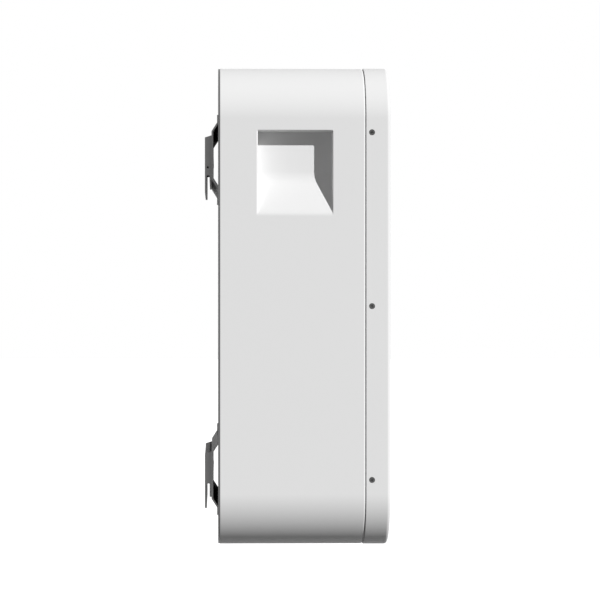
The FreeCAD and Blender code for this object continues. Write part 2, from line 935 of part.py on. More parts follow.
def rail_nuts():
    """Clinch nuts on the inside of the back panel, one behind each rail screw."""
    nuts = []
    for rail_z in rail_heights():
        for x, z in rail_screw_places(rail_z):
            start = Vector(x, recess_front, z)
            nuts.append(hexagon(2 * m5_radius, rail_nut_height, start, FRONT, m5_radius + hole_clearance))
    return nuts


# ---- Connection bay ----
def bay_cutouts():
    """Holes in the bay's ceiling for what is mounted there."""
    tools = []
    low = bay_ceiling - MARGIN
    tall = bay_sheet + 2 * MARGIN
    for x in socket_places():
        tools.append(rod(socket_neck_radius + hole_clearance, tall, Vector(x, socket_y, low), UP))
    tools.append(port_block_form(hole_clearance))
    tools.append(rod(barrel_radius + hole_clearance, tall, Vector(port_x, control_y, low), UP))
    tools.append(
        centred(
            breaker_x,
            bay_mid_y,
            bay_ceiling,
            breaker_width - 2 * nose_inset + 2 * hole_clearance,
            nose_length + 2 * hole_clearance,
            4 * bay_sheet,
        )
    )
    tools.append(rod(earth_radius + hole_clearance, tall, Vector(earth_x, control_y, low), UP))
    tools.append(rod(vent_thread_radius + hole_clearance, tall, Vector(vent_x, control_y, low), UP))
    return tools


def bay_tray():
    """Folded tray let into the underside, open below, with a rim inside the shell's floor."""
    outer = centred(
        0,
        bay_mid_y,
        (shell_floor + bay_top) / 2,
        bay_width + 2 * bay_sheet,
        bay_depth + 2 * bay_sheet,
        bay_top - shell_floor,
    )
    outer = outer.makeFillet(2 * bay_sheet, edges_along(outer, 2))
    rim = centred(
        0,
        bay_mid_y,
        shell_floor + bay_sheet / 2,
        bay_width + 2 * bay_rim,
        bay_depth + 2 * bay_rim,
        bay_sheet,
    )
    rim = rim.makeFillet(bay_rim / 2, edges_along(rim, 2))
    inner = centred(0, bay_mid_y, bay_ceiling - bay_height, bay_width, bay_depth, 2 * bay_height)
    inner = inner.makeFillet(bay_sheet, edges_along(inner, 2))
    tools = bay_cutouts()
    for x, y in bay_screw_places():
        tools.append(screw_hole(Vector(x, y, shell_floor), UP, bay_screw_radius, bay_sheet))
    return cut_all(outer.fuse(rim).cut(inner).removeSplitter(), tools)


def bay_screws():
    return [
        flush_screw(
            Vector(x, y, shell_inset), UP, bay_screw_radius, bay_screw_head_radius, bay_screw_length
        )
        for x, y in bay_screw_places()
    ]


def power_socket(x):
    """Round socket: square flange under the ceiling, barrel below it and a neck above."""
    flange = centred(
        x,
        socket_y,
        bay_ceiling - socket_flange_thickness / 2,
        socket_flange,
        socket_flange,
        socket_flange_thickness,
    )
    flange = flange.makeChamfer(socket_flange_thickness, edges_along(flange, 2))
    low = bay_ceiling - socket_length
    barrel = rod(socket_radius, socket_length, Vector(x, socket_y, low), UP)
    neck_height = socket_neck_height + bay_sheet
    neck_foot = Vector(x, socket_y, bay_ceiling)
    neck = faceted([(0, socket_neck_radius), (neck_height, socket_neck_radius)], neck_foot, UP)
    bore = rod(socket_bore_radius, socket_bore_depth, Vector(x, socket_y, low), UP)
    through = screw_hole(
        Vector(x, socket_y, low), UP, contact_radius, socket_length + bay_sheet + socket_neck_height
    )
    return flange.fuse(barrel).fuse(neck).cut(bore).cut(through).removeSplitter()


def socket_contact(x):
    """Contact pin in the socket's bore, with its stud standing above the neck."""
    low = bay_ceiling - socket_length + socket_bore_depth - contact_tip
    high = bay_top + socket_neck_height + contact_stud_height
    chamfer = contact_radius / 3
    stations = [
        (0, contact_radius - chamfer),
        (chamfer, contact_radius),
        (high - low, contact_radius),
    ]
    return faceted(stations, Vector(x, socket_y, low), UP)


def socket_link(x_first, x_second):
    """Copper bar that joins the studs of two sockets above their necks."""
    low = bay_top + socket_neck_height
    half = link_bar_width / 2
    bar = block(
        (x_first - half, x_second + half),
        (socket_y - half, socket_y + half),
        (low, low + link_bar_thickness),
    )
    tools = []
    for x in (x_first, x_second):
        tools.append(screw_hole(Vector(x, socket_y, low), UP, contact_radius, link_bar_thickness))
    return cut_all(bar, tools)


def link_nuts():
    nuts = []
    for x in socket_places():
        start = Vector(x, socket_y, bay_top + socket_neck_height + link_bar_thickness)
        nuts.append(hexagon(link_nut_radius, link_nut_height, start, UP, contact_radius + hole_clearance))
    return nuts


def port_block_form(grow):
    """Outer form of the block of communication ports."""
    width = port_count * port_pitch + port_wall
    depth = port_height + 2 * port_wall
    height = port_depth + port_wall + port_proud
    low = bay_ceiling - port_proud
    return centred(
        port_x, socket_y, low + height / 2, width + 2 * grow, depth + 2 * grow, height + 2 * grow
    )


def comm_ports():
    low = bay_ceiling - port_proud
    ports = port_block_form(0)
    tools = []
    for x in spread(port_count, port_pitch):
        tools.append(
            centred(port_x + x, socket_y, low + port_depth / 2, port_width, port_height, port_depth)
        )
        tools.append(
            centred(
                port_x + x,
                socket_y - (port_height + port_key_depth) / 2,
                low + port_depth / 2,
                port_key_width,
                port_key_depth + hole_clearance,
                port_depth,
            )
        )
    return cut_all(ports, tools)


def comm_board():
    """Circuit board that the port block is soldered to."""
    low = bay_ceiling + port_depth + port_wall
    width = port_count * port_pitch + port_wall + 2 * comm_board_margin
    return centred(
        port_x, socket_y, low + comm_board_thickness / 2, width, comm_board_depth, comm_board_thickness
    )


def switch_housing():
    """Bezel below the bay's ceiling and threaded barrel above it, with the button's chamber."""
    low = bay_ceiling - bezel_thickness
    start = Vector(port_x, control_y, low)
    bezel = rod(bezel_radius, bezel_thickness, start, UP)
    barrel = rod(barrel_radius, bezel_thickness + barrel_height, start, UP)
    inside = button_length - button_proud + button_travel
    chamber_height = inside + MARGIN + chamber_spare
    chamber = rod(button_radius + button_play, chamber_height, start - UP * MARGIN, UP)
    return bezel.fuse(barrel).cut(chamber).removeSplitter()


def switch_nut():
    start = Vector(port_x, control_y, bay_top)
    return hexagon(switch_nut_radius, switch_nut_height, start, UP, barrel_radius + hole_clearance)


def power_button():
    low = bay_ceiling - bezel_thickness - button_proud
    stations = [
        (0, button_radius - button_edge),
        (button_edge, button_radius),
        (button_length, button_radius),
    ]
    return turned(stations, Vector(port_x, control_y, low), UP)


def lever_axis_z():
    return bay_ceiling - nose_proud + lever_axis_rise


def breaker_body():
    """Moulded case on top of the bay's ceiling; its nose comes through the ceiling."""
    case = centred(
        breaker_x,
        bay_mid_y,
        bay_top + breaker_height / 2,
        breaker_width,
        breaker_length,
        breaker_height,
    )
    nose_low = bay_ceiling - nose_proud
    nose = centred(
        breaker_x,
        bay_mid_y,
        (nose_low + bay_top) / 2,
        breaker_width - 2 * nose_inset,
        nose_length,
        bay_top - nose_low,
    )
    nose = nose.makeFillet(nose_round, edges_along(nose, 2))
    body = case.fuse(nose)
    wide = lever_hub_width + 2 * lever_play
    axis_z = lever_axis_z()
    start = Vector(breaker_x - wide / 2, bay_mid_y, axis_z)
    pocket = rod(lever_hub_radius + lever_play, wide, start, Vector(1, 0, 0))
    tilt = math.radians(lever_tilt)
    swing = lever_axis_rise * math.tan(tilt) + lever_thickness / 2 / math.cos(tilt) + lever_play
    slot_half = max(swing, lever_slot_share * lever_hub_radius)
    slot = centred(
        breaker_x, bay_mid_y, axis_z - lever_axis_rise, wide, 2 * slot_half, 2 * lever_axis_rise
    )
    pin_length = lever_hub_width + 2 * pin_overlap
    hole = rod(
        pin_radius + pin_play,
        pin_length,
        Vector(breaker_x - pin_length / 2, bay_mid_y, axis_z),
        Vector(1, 0, 0),
    )
    return body.cut(pocket).cut(slot).cut(hole).removeSplitter()


def breaker_pin():
    """Fixed pin that the lever turns on, held in the case at both ends."""
    pin_length = lever_hub_width + 2 * pin_overlap
    start = Vector(breaker_x - pin_length / 2, bay_mid_y, lever_axis_z())
    return rod(pin_radius, pin_length, start, Vector(1, 0, 0))


def breaker_lever():
    """Toggle: hub and paddle, drawn pointing down and then tilted to its off position."""
    axis_z = lever_axis_z()
    start = Vector(breaker_x - lever_hub_width / 2, bay_mid_y, axis_z)
    hub = rod(lever_hub_radius, lever_hub_width, start, Vector(1, 0, 0))
    paddle_half = lever_hub_width / 2 - lever_shoulder
    paddle = block(
        (breaker_x - paddle_half, breaker_x + paddle_half),
        (bay_mid_y - lever_thickness / 2, bay_mid_y + lever_thickness / 2),
        (axis_z - lever_reach, axis_z),
    )
    paddle = paddle.makeFillet(lever_tip_round, edges_at(paddle, 2, axis_z - lever_reach))
    lever = hub.fuse(paddle).removeSplitter()
    bore = rod(
        pin_radius + pin_play,
        lever_hub_width + 2 * MARGIN,
        start - Vector(MARGIN, 0, 0),
        Vector(1, 0, 0),
    )
    lever = lever.cut(bore)
    lever.rotate(Vector(breaker_x, bay_mid_y, axis_z), Vector(1, 0, 0), -lever_tilt)
    return lever


def earth_stud():
    """Stud with a flange under the bay's ceiling; its shank goes up through the ceiling."""
    flange_low = earth_reach - earth_flange_thickness
    stations = [
        (0, earth_radius - earth_tip_bevel),
        (earth_tip_bevel, earth_radius),
        (flange_low, earth_radius),
        (flange_low, earth_flange_radius),
        (earth_reach, earth_flange_radius),
        (earth_reach, earth_radius),
        (earth_reach + earth_shank, earth_radius),
    ]
    return turned(stations, Vector(earth_x, control_y, bay_ceiling - earth_reach), UP)


def earth_nut():
    start = Vector(earth_x, control_y, bay_top)
    return hexagon(earth_nut_radius, earth_nut_height, start, UP, earth_radius + hole_clearance)


def vent_plug():
    """Pressure-balancing vent: a bevelled cap below the ceiling and a short thread above it."""
    low = bay_ceiling - vent_proud
    stations = [
        (0, vent_radius - vent_bevel),
        (vent_bevel, vent_radius),
        (vent_proud, vent_radius),
        (vent_proud, vent_thread_radius),
        (vent_proud + bay_sheet + vent_thread_length, vent_thread_radius),
    ]
    return turned(stations, Vector(vent_x, control_y, low), UP)


# ---- Cells ----
def cell_places():
    """z of the lower face of each cell in a column, lowest first."""
    first = stack_bottom + spacer_thickness
    return [first + index * cell_pitch for index in range(cells_per_column)]


def cells(side):
    """Prismatic cells of one column, lying on their broad faces with terminals in front."""
    found = []
    for low in cell_places():
        cell = centred(
            side * column_x,
            module_mid_y,
            low + cell_thickness / 2,
            cell_width,
            cell_depth,
            cell_thickness,
        )
        found.append(cell.makeChamfer(cell_edge, edges_along(cell, 1)))
    return found


def cell_spacers():
    sheets = []
    for side in (-1, 1):
        for index in range(cells_per_column + 1):
            z = stack_bottom + index * cell_pitch + spacer_thickness / 2
            sheets.append(
                centred(
                    side * column_x,
                    module_mid_y,
                    z,
                    cell_width - 2 * cell_edge,
                    cell_depth,
                    spacer_thickness,
                )
            )
    return sheets


def end_plates():
    """Aluminium plates that close each column, two at the top and two at the bottom."""
    plates = []
    for side in (-1, 1):
        for low in (module_bottom, stack_top):
            plate = centred(
                side * column_x,
                module_mid_y,
                low + end_plate_thickness / 2,
                plate_width,
                cell_depth,
                end_plate_thickness,
            )
            outer_z = module_bottom if low == module_bottom else module_top
            tools = []
            for y in spread(3, cell_depth / 3):
                tools.append(
                    centred(
                        side * column_x,
                        module_mid_y + y,
                        outer_z,
                        plate_width + 2 * MARGIN,
                        2 * end_plate_groove,
                        2 * end_plate_groove,
                    )
                )
            for x, y, z, inward in strap_screw_places():
                if abs(z - low - end_plate_thickness / 2) < 1e-6:
                    start = Vector(x, y, z)
                    depth = strap_thickness + screw_bite
                    tools.append(screw_hole(start, inward, strap_screw_radius, depth))
            for x, z in end_plate_bolt_places():
                start = Vector(x, carrier_front, z)
                tools.append(screw_hole(start, FRONT, strap_screw_radius, screw_bite))
            plates.append(cut_all(plate, tools))
    return plates


def strap_screw_places():
    """(x, y, z, inward direction) of the screws that hold the straps to the end plates."""
    found = []
    heights = (module_bottom + end_plate_thickness / 2, stack_top + end_plate_thickness / 2)
    for side in (-1, 1):
        for face in (-1, 1):
            x = side * column_x + face * (plate_width / 2 + strap_thickness)
            for z in heights:
                for y in spread(2, strap_screw_pitch):
                    found.append((x, module_mid_y + y, z, Vector(-face, 0, 0)))
    return found


def module_straps():
    """Steel straps down both faces of each column, which clamp the cells between the plates."""
    straps = []
    for side in (-1, 1):
        for face in (-1, 1):
            x = side * column_x + face * (plate_width / 2 + strap_thickness / 2)
            strap = centred(
                x,
                module_mid_y,
                (module_bottom + module_top) / 2,
                strap_thickness,
                strap_width,
                module_top - module_bottom,
            )
            tools = []
            for sx, y, z, inward in strap_screw_places():
                if abs(sx - x) < strap_thickness:
                    tools.append(
                        screw_hole(Vector(sx, y, z), inward, strap_screw_radius, strap_thickness)
                    )
            straps.append(cut_all(strap, tools))
    return straps


def strap_screws():
    screws = []
    for x, y, z, inward in strap_screw_places():
        screws.append(pan_screw(Vector(x, y, z), inward, strap_screw_radius, strap_thickness + screw_bite))
    return screws


def end_plate_bolt_places():
    """(x, z) of the bolts from the carrier into the back edges of the end plates."""
    heights = (module_bottom + end_plate_thickness / 2, stack_top + end_plate_thickness / 2)
    offsets = spread(2, plate_width * carrier_bolt_share)
    columns = [side * column_x + offset for side in (-1, 1) for offset in offsets]
    return [(x, z) for x in columns for z in heights]


def module_carrier():
    """Plate behind the cells and the management board, on standoffs from the back panel."""
    plate = block(
        (-carrier_half_width, carrier_half_width),
        (carrier_front, carrier_back),
        (carrier_bottom, carrier_top),
    )
    plate = plate.makeFillet(standoff_radius, edges_along(plate, 1))
    tools = []
    for x, z in standoff_places():
        tools.append(screw_hole(Vector(x, carrier_front, z), BACK, m4_radius, carrier_thickness))
    for x, z in end_plate_bolt_places():
        start = Vector(x, carrier_back, z)
        tools.append(screw_hole(start, FRONT, strap_screw_radius, carrier_thickness))
    for x, z in board_screw_places():
        tools.append(screw_hole(Vector(x, carrier_front, z), BACK, board_screw_radius, carrier_thickness))
    window_height = (module_top - module_bottom) / 4
    for z in spread(2, carrier_window_pitch * window_height):
        window = centred(
            0,
            (carrier_front + carrier_back) / 2,
            (module_bottom + module_top) / 2 + z,
            carrier_window_width * cell_width,
            2 * carrier_thickness,
            window_height,
        )
        tools.append(window.makeFillet(standoff_radius, edges_along(window, 1)))
    return cut_all(plate, tools)


def carrier_standoffs():
    """Standoffs between the back panel and the carrier, with a threaded bore at each end."""
    posts = []
    for x, z in standoff_places():
        rear = Vector(x, recess_front, z)
        post = faceted([(0, standoff_radius), (carrier_standoff, standoff_radius)], rear, FRONT)
        front = Vector(x, carrier_back, z)
        post = post.cut(screw_hole(rear, FRONT, carrier_screw_radius, standoff_bite))
        posts.append(post.cut(screw_hole(front, BACK, m4_radius, standoff_bite)))
    return posts


def carrier_screws():
    """Countersunk screws from behind the back panel into the standoffs."""
    screws = []
    for x, z in standoff_places():
        screws.append(
            flush_screw(
                Vector(x, recess_back, z),
                FRONT,
                carrier_screw_radius,
                carrier_screw_head_radius,
                panel_thickness + standoff_bite,
            )
        )
    return screws


def module_bolts():
    """Pan-head bolts from behind the carrier into the end plates."""
    bolts = []
    for x, z in end_plate_bolt_places():
        start = Vector(x, carrier_back, z)
        bolts.append(pan_screw(start, FRONT, strap_screw_radius, carrier_thickness + screw_bite))
    return bolts


def standoff_screws():
    """Headless screws, flush with the carrier's front because the cells stand on it."""
    stations = [(0, m4_radius), (carrier_thickness + standoff_bite, m4_radius)]
    return [faceted(stations, Vector(x, carrier_front, z), BACK) for x, z in standoff_places()]


def terminal_x(side, face):
    return side * column_x + face * terminal_spread / 2


def cell_terminals():
    """Two terminal blocks on the front of each cell."""
    posts = []
    for side in (-1, 1):
        for low in cell_places():
            for face in (-1, 1):
                posts.append(
                    centred(
                        terminal_x(side, face),
                        cell_front - terminal_height / 2,
                        low + cell_thickness / 2,
                        terminal_width,
                        terminal_height,
                        terminal_width,
                    )
                )
    return posts


def cell_busbars():
    """Series links, on the left and right in turn from the top, and a bridge between columns."""
    front = cell_front - terminal_height - busbar_thickness
    back = cell_front - terminal_height
    half = terminal_width / 2 - busbar_overhang
    bars = []
    for side in (-1, 1):
        lows = cell_places()
        for index in range(cells_per_column - 1):
            from_top = cells_per_column - 2 - index
            face = 1 if from_top % 2 == 0 else -1
            x = terminal_x(side, face * side)
            middle = lows[index] + cell_thickness / 2
            bar = block(
                (x - half, x + half),
                (front, back),
                (middle - half, middle + cell_pitch + half),
            )
            bars.append(bar)
    top = cell_places()[-1] + cell_thickness / 2
    inner = terminal_x(1, -1)
    bridge = block((-inner - half, inner + half), (front, back), (top - half, top + half))
    bars.append(bridge)
    return bars


def busbar_shields():
    """Clear channel over each column's terminals, standing on the cells' front faces."""
    shields = []
    outer_depth = terminal_height + busbar_thickness + shield_air + shield_thickness
    width = cell_width - 2 * shield_side
    for side in (-1, 1):
        centre_x = side * column_x
        outer = block(
            (centre_x - width / 2, centre_x + width / 2),
            (cell_front - outer_depth, cell_front),
            (stack_bottom + spacer_thickness, stack_top - spacer_thickness),
        )
        inner = block(
            (centre_x - width / 2 + shield_thickness, centre_x + width / 2 - shield_thickness),
            (cell_front - outer_depth + shield_thickness, cell_front + MARGIN),
            (stack_bottom - MARGIN, stack_top + MARGIN),
        )
        shield = outer.cut(inner)
        if side == -1:
            notch_x = (centre_x + width / 2 - 2 * shield_thickness, centre_x + width / 2 + MARGIN)
        else:
            notch_x = (centre_x - width / 2 - MARGIN, centre_x - width / 2 + 2 * shield_thickness)
        top = cell_places()[-1] + cell_thickness / 2
        gap = terminal_width / 2
        notch_front = cell_front - shield_air - shield_notch_spare
        notch = block(notch_x, (notch_front, cell_front + MARGIN), (top - gap, top + gap))
        shields.append(shield.cut(notch))
    return shields


# ---- Battery management board ----
def board_screw_places():
    """(x, z) of the four corners where the board stands on the carrier."""
    x = board_width / 2 - board_edge
    z = board_height / 2 - board_edge
    return [(board_x + sx * x, board_mid_z + sz * z) for sx in (-1, 1) for sz in (-1, 1)]


def bms_board():
    board = centred(
        board_x,
        (board_front + board_back) / 2,
        board_mid_z,
        board_width,
        board_thickness,
        board_height,
    )
    board = board.makeFillet(board_corner, edges_along(board, 1))
    tools = []
    for x, z in board_screw_places():
        tools.append(screw_hole(Vector(x, board_front, z), BACK, board_screw_radius, board_thickness))
    return cut_all(board, tools)


def board_standoffs():
    posts = []
    for x, z in board_screw_places():
        start = Vector(x, carrier_front, z)
        stations = [(0, board_standoff_radius), (board_standoff, board_standoff_radius)]
        post = faceted(stations, start, FRONT)
        posts.append(post.cut(screw_hole(start, FRONT, board_screw_radius, board_standoff)))
    return posts


def board_screws():
    length = board_thickness + board_standoff + carrier_thickness
    return [
        pan_screw(Vector(x, board_front, z), BACK, board_screw_radius, length)
        for x, z in board_screw_places()
    ]


def heatsink_x():
    return board_x - board_width / 2 + 2 * board_edge + heatsink_width / 2


def transistor_places():
    """(x, z) of the switching transistors between the board and the heat sink."""
    columns = spread(4, heatsink_width / 4)
    rows = spread(2, heatsink_height / 2)
    return [(heatsink_x() + x, board_mid_z + z) for x in columns for z in rows]


def bms_transistors():
    return [
        centred(
            x,
            board_front - transistor_height / 2,
            z,
            transistor_size,
            transistor_height,
            transistor_size,
        )
        for x, z in transistor_places()
    ]


def bms_heatsink():
    """Finned extrusion pressed on the transistors; its fins stand upright for the air."""
    back = board_front - transistor_height
    centre_x = heatsink_x()
    half = heatsink_width / 2
    z_range = (board_mid_z - heatsink_height / 2, board_mid_z + heatsink_height / 2)
    sink = block((centre_x - half, centre_x + half), (back - heatsink_base, back), z_range)
    pitch = (heatsink_width - heatsink_fin) / (heatsink_fins - 1)
    for x in spread(heatsink_fins, pitch):
        fin = block(
            (centre_x + x - heatsink_fin / 2, centre_x + x + heatsink_fin / 2),
            (back - heatsink_depth, back - heatsink_base),
            z_range,
        )
        sink = sink.fuse(fin)
    return sink.removeSplitter()


def bms_capacitors():
    x_first = heatsink_x() + heatsink_width / 2 + 3 * capacitor_radius
    found = []
    for index in range(capacitor_count):
        x = x_first + index * capacitor_pitch
        start = Vector(x, board_front, board_mid_z + board_height / 4)
        found.append(faceted([(0, capacitor_radius), (capacitor_height, capacitor_radius)], start, FRONT))
    return found


def bms_connectors():
    """Sense and communication headers along the lower edge of the board."""
    x_first = heatsink_x() + heatsink_width / 2 + connector_width / 2 + board_edge
    found = []
    for index in range(2):
        housing = centred(
            x_first + index * (connector_width + connector_gap),
            board_front - connector_depth / 2,
            board_mid_z - board_height / 4,
            connector_width,
            connector_depth,
            connector_height,
        )
        slot = centred(
            x_first + index * (connector_width + connector_gap),
            board_front - connector_depth,
            board_mid_z - board_height / 4,
            connector_width - 2 * connector_wall,
            connector_depth,
            connector_height - 2 * connector_wall,
        )
        found.append(housing.cut(slot))
    return found


# ---- Main fuse ----
def fuse_y():
    return carrier_front - fuse_base_thickness - fuse_radius


def fuse_base():
    """Insulating base screwed to the carrier, with a cradle for each cap of the fuse."""
    base = centred(
        fuse_x,
        carrier_front - fuse_base_thickness / 2,
        board_mid_z,
        fuse_length + 2 * fuse_base_margin,
        fuse_base_thickness,
        fuse_base_height,
    )
    for side in (-1, 1):
        cradle = centred(
            fuse_x + side * (fuse_length / 2 - fuse_cap_length / 2),
            carrier_front - fuse_base_thickness - fuse_radius / 2,
            board_mid_z,
            fuse_cap_length - 2 * fuse_cradle_inset,
            fuse_radius,
            2 * (fuse_radius + fuse_cradle_wall),
        )
        base = base.fuse(cradle)
    seat = rod(
        fuse_radius,
        fuse_length + 2 * MARGIN,
        Vector(fuse_x - fuse_length / 2 - MARGIN, fuse_y(), board_mid_z),
        Vector(1, 0, 0),
    )
    return base.cut(seat).removeSplitter()


def main_fuse():
    """Ceramic tube between two metal caps."""
    start = Vector(fuse_x - fuse_length / 2, fuse_y(), board_mid_z)
    tube = fuse_radius - fuse_cap_wall
    far = fuse_length - fuse_cap_length
    stations = [
        (0, fuse_radius),
        (fuse_cap_length, fuse_radius),
        (fuse_cap_length, tube),
        (far, tube),
        (far, fuse_radius),
        (fuse_length, fuse_radius),
    ]
    return faceted(stations, start, Vector(1, 0, 0), 2 * FASTENER_SIDES)


# ---- Status light ----
def light_z():
    return unit_height - light_from_top


def light_boss_places():
    return spread(2, light_board_width - 4 * light_boss_radius / 2)


def light_window(width, height, front, back):
    """Slot with round ends in the middle of the cover's front."""
    window = block(
        (-width / 2, width / 2), (front, back), (light_z() - height / 2, light_z() + height / 2)
    )
    return window.makeFillet(0.49 * height, edges_along(window, 1))


def status_window():
    """Diffusing lens: a tongue in the slot and a lip behind the cover's face."""
    tongue = light_window(
        light_width - 2 * hole_clearance, light_height - 2 * hole_clearance, front_y, cover_inside
    )
    lip = light_window(
        light_width + 2 * light_lip,
        light_height + 2 * light_lip,
        cover_inside,
        cover_inside + light_lip_thickness,
    )
    lens = tongue.fuse(lip)
    hollow = centred(
        0,
        cover_inside + light_lip_thickness,
        light_z(),
        light_width,
        2 * (led_height + led_air),
        light_height,
    )
    return lens.cut(hollow).removeSplitter()


def status_board():
    low = cover_inside + light_lip_thickness
    board = centred(
        0, low + board_thickness / 2, light_z(), light_board_width, board_thickness, light_board_height
    )
    tools = []
    for x in light_boss_places():
        tools.append(screw_hole(Vector(x, low, light_z()), BACK, light_screw_radius, board_thickness))
    return cut_all(board, tools)


def status_leds():
    low = cover_inside + light_lip_thickness
    found = []
    for x in spread(led_count, light_width / (led_count + 1)):
        found.append(centred(x, low - led_height / 2, light_z(), led_size, led_height, led_size))
    return found


def status_board_screws():
    seat_y = cover_inside + light_lip_thickness + board_thickness
    length = board_thickness + light_lip_thickness
    return [
        pan_screw(Vector(x, seat_y, light_z()), FRONT, light_screw_radius, length)
        for x in light_boss_places()
    ]


# ---- Write every node ----
os.makedirs("parts", exist_ok=True)

save("main_shell", main_shell())
save("front_cover", front_cover())
gasket = ring(collar_width, collar_height, collar_radius, shell_wall, gasket_front, collar_front)
save("cover_gasket", gasket)
save("cover_screws", *cover_screws())
save("cover_clinch_nuts", *cover_nuts())
save("back_panel", back_panel())
save("back_panel_screws", *back_panel_screws())
left_cup = handle_cup()
save("handle_cup_left", left_cup)
save("handle_cup_right", mirrored(left_cup))
left_seal = cup_seal()
save("handle_cup_seals", left_seal, mirrored(left_seal))

upper_z, lower_z = rail_heights()
save("upper_hanger_rail", hanger_rail(upper_z))
save("lower_hanger_rail", hanger_rail(lower_z))
save("upper_hook_bracket", hook_bracket(upper_z))
save("lower_hook_bracket", hook_bracket(lower_z))
save("hook_rivets", *hook_rivets())
save("rail_screws", *rail_screws())
save("rail_clinch_nuts", *rail_nuts())

save("bay_tray", bay_tray())
save("bay_tray_screws", *bay_screws())
positive_first, positive_second, negative_first, negative_second = socket_places()
save("positive_sockets", power_socket(positive_first), power_socket(positive_second))
save("negative_sockets", power_socket(negative_first), power_socket(negative_second))
save("socket_contacts", *[socket_contact(x) for x in socket_places()])
save("positive_link_bar", socket_link(positive_first, positive_second))
save("negative_link_bar", socket_link(negative_first, negative_second))
save("link_bar_nuts", *link_nuts())
save("comm_ports", comm_ports())
save("comm_board", comm_board())
save("switch_housing", switch_housing())
save("switch_nut", switch_nut())
save("power_button", power_button())
save("breaker_body", breaker_body())
save("breaker_pin", breaker_pin())
save("breaker_lever", breaker_lever())
save("earth_stud", earth_stud())
save("earth_nut", earth_nut())
save("vent_plug", vent_plug())

save("cells_left", *cells(-1))
save("cells_right", *cells(1))
save("cell_spacers", *cell_spacers())
save("cell_terminals", *cell_terminals())
save("cell_busbars", *cell_busbars())
save("busbar_shields", *busbar_shields())
save("end_plates", *end_plates())
save("module_straps", *module_straps())
save("strap_screws", *strap_screws())
save("module_bolts", *module_bolts())
save("module_carrier", module_carrier())
save("carrier_standoffs", *carrier_standoffs())
save("carrier_screws", *carrier_screws(), *standoff_screws())
save("bms_board", bms_board())
save("bms_board_standoffs", *board_standoffs())
save("bms_board_screws", *board_screws())
save("bms_transistors", *bms_transistors())
save("bms_heatsink", bms_heatsink())
save("bms_capacitors", *bms_capacitors(), *bms_connectors())
save("fuse_base", fuse_base())
save("main_fuse", main_fuse())
save("status_window", status_window())
save("status_board", status_board(), *status_leds())
save("status_board_screws", *status_board_screws())
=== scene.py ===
import json
import math

import bmesh
import bpy
from mathutils import Matrix, Vector


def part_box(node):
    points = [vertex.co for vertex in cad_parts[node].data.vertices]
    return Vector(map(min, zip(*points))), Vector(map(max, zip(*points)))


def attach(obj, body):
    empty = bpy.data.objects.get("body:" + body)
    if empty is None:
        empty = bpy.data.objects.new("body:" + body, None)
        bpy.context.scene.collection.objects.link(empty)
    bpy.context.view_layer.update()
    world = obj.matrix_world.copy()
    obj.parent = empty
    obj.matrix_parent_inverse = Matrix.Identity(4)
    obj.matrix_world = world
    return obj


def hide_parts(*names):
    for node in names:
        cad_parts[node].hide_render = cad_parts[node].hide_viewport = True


# Looks of the wall battery unit. Shapes are drawn in millimetres, in the frame of the packed
# model, and scaled to metres when a piece is made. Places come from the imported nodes.

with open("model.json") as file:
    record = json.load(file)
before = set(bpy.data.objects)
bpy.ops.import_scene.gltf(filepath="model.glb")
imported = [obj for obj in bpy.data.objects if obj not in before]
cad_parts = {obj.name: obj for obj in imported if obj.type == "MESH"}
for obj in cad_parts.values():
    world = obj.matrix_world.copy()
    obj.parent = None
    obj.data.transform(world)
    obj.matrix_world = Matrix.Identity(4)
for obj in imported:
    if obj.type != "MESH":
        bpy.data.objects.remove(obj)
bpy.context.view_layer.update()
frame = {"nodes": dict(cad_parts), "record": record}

MM = 0.001
CORNER_STEPS = 28
ARC_STEPS = 8
BEND_STEPS = 6
CIRCLE_STEPS = 40
SHARP_ANGLE = 32.0
ROUGHNESS_DRIFT = 0.06
IN_PLACE = Matrix.Identity(4)
ROOT = "cabinet"

# ---- Sizes in millimetres; lever_tilt is in degrees ----
cover_wall = 3.0
cover_front_round = 4.5
cover_rear_round = 0.6
shell_wall = 2.0
shell_front_round = 2.4
shell_rear_round = 0.8
rear_flange_width = 16.0
collar_length = 16.0
collar_inset = 3.0
corner_radius = 74.0
panel_edge = 0.25
panel_sink = 0.25
panel_sheet = 2.5
panel_rim_width = 22.0
pocket_depth = 26.0
pocket_ramp_height = 49.0
pocket_knee_radius = 36.0
pocket_edge_round = 0.9
pocket_rear_round = 2.4
pocket_sill_round = 12.0
pocket_corner_round = 1.6
cup_wall = 2.0
cup_flange = 10.0
cup_seal = 1.0
hanger_sheet = 2.5
fold_inside_radius = 0.8
sheet_edge = 0.2
rail_web_height = 63.0
rail_slope_height = 12.0
rail_flange_height = 11.0
hook_crown_rise = 3.0
hook_lip_height = 63.5
hook_sheet = 2.8
hook_cheek_height = 42.0
near_cheek_height = {"upper_hook_bracket": 53.0, "lower_hook_bracket": 42.0}
hook_punch_from_leg = 4.2
hook_punch_rise = 0.4
bay_rim = 10.0
bay_mouth_round = 1.5
bay_ceiling_above_sockets = 20.0
window_lip = 4.0
window_gap = 0.1
window_slot_round = 2.45
lever_tilt = 25.0
lever_axis_rise = 3.0
rivet_tail_radius = 3.2
head_clearance = 0.12
head_seat_depth = 0.15
hole_depth = 6.0
cover_hole_depth = 5.0

# ---- Shank and head radius of each flush fastener; the last is a punched hole's two radii ----
cover_screw = (2.0, 3.95)
bay_screw = (1.5, 2.8)
rail_screw = (2.5, 4.6)
carrier_screw = (3.0, 5.0)
hook_rivet = (2.0, 3.5)
hook_punch = (1.1, 1.4)


# ---- Places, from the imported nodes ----
def box_mm(node):
    low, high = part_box(node)
    return low / MM, high / MM


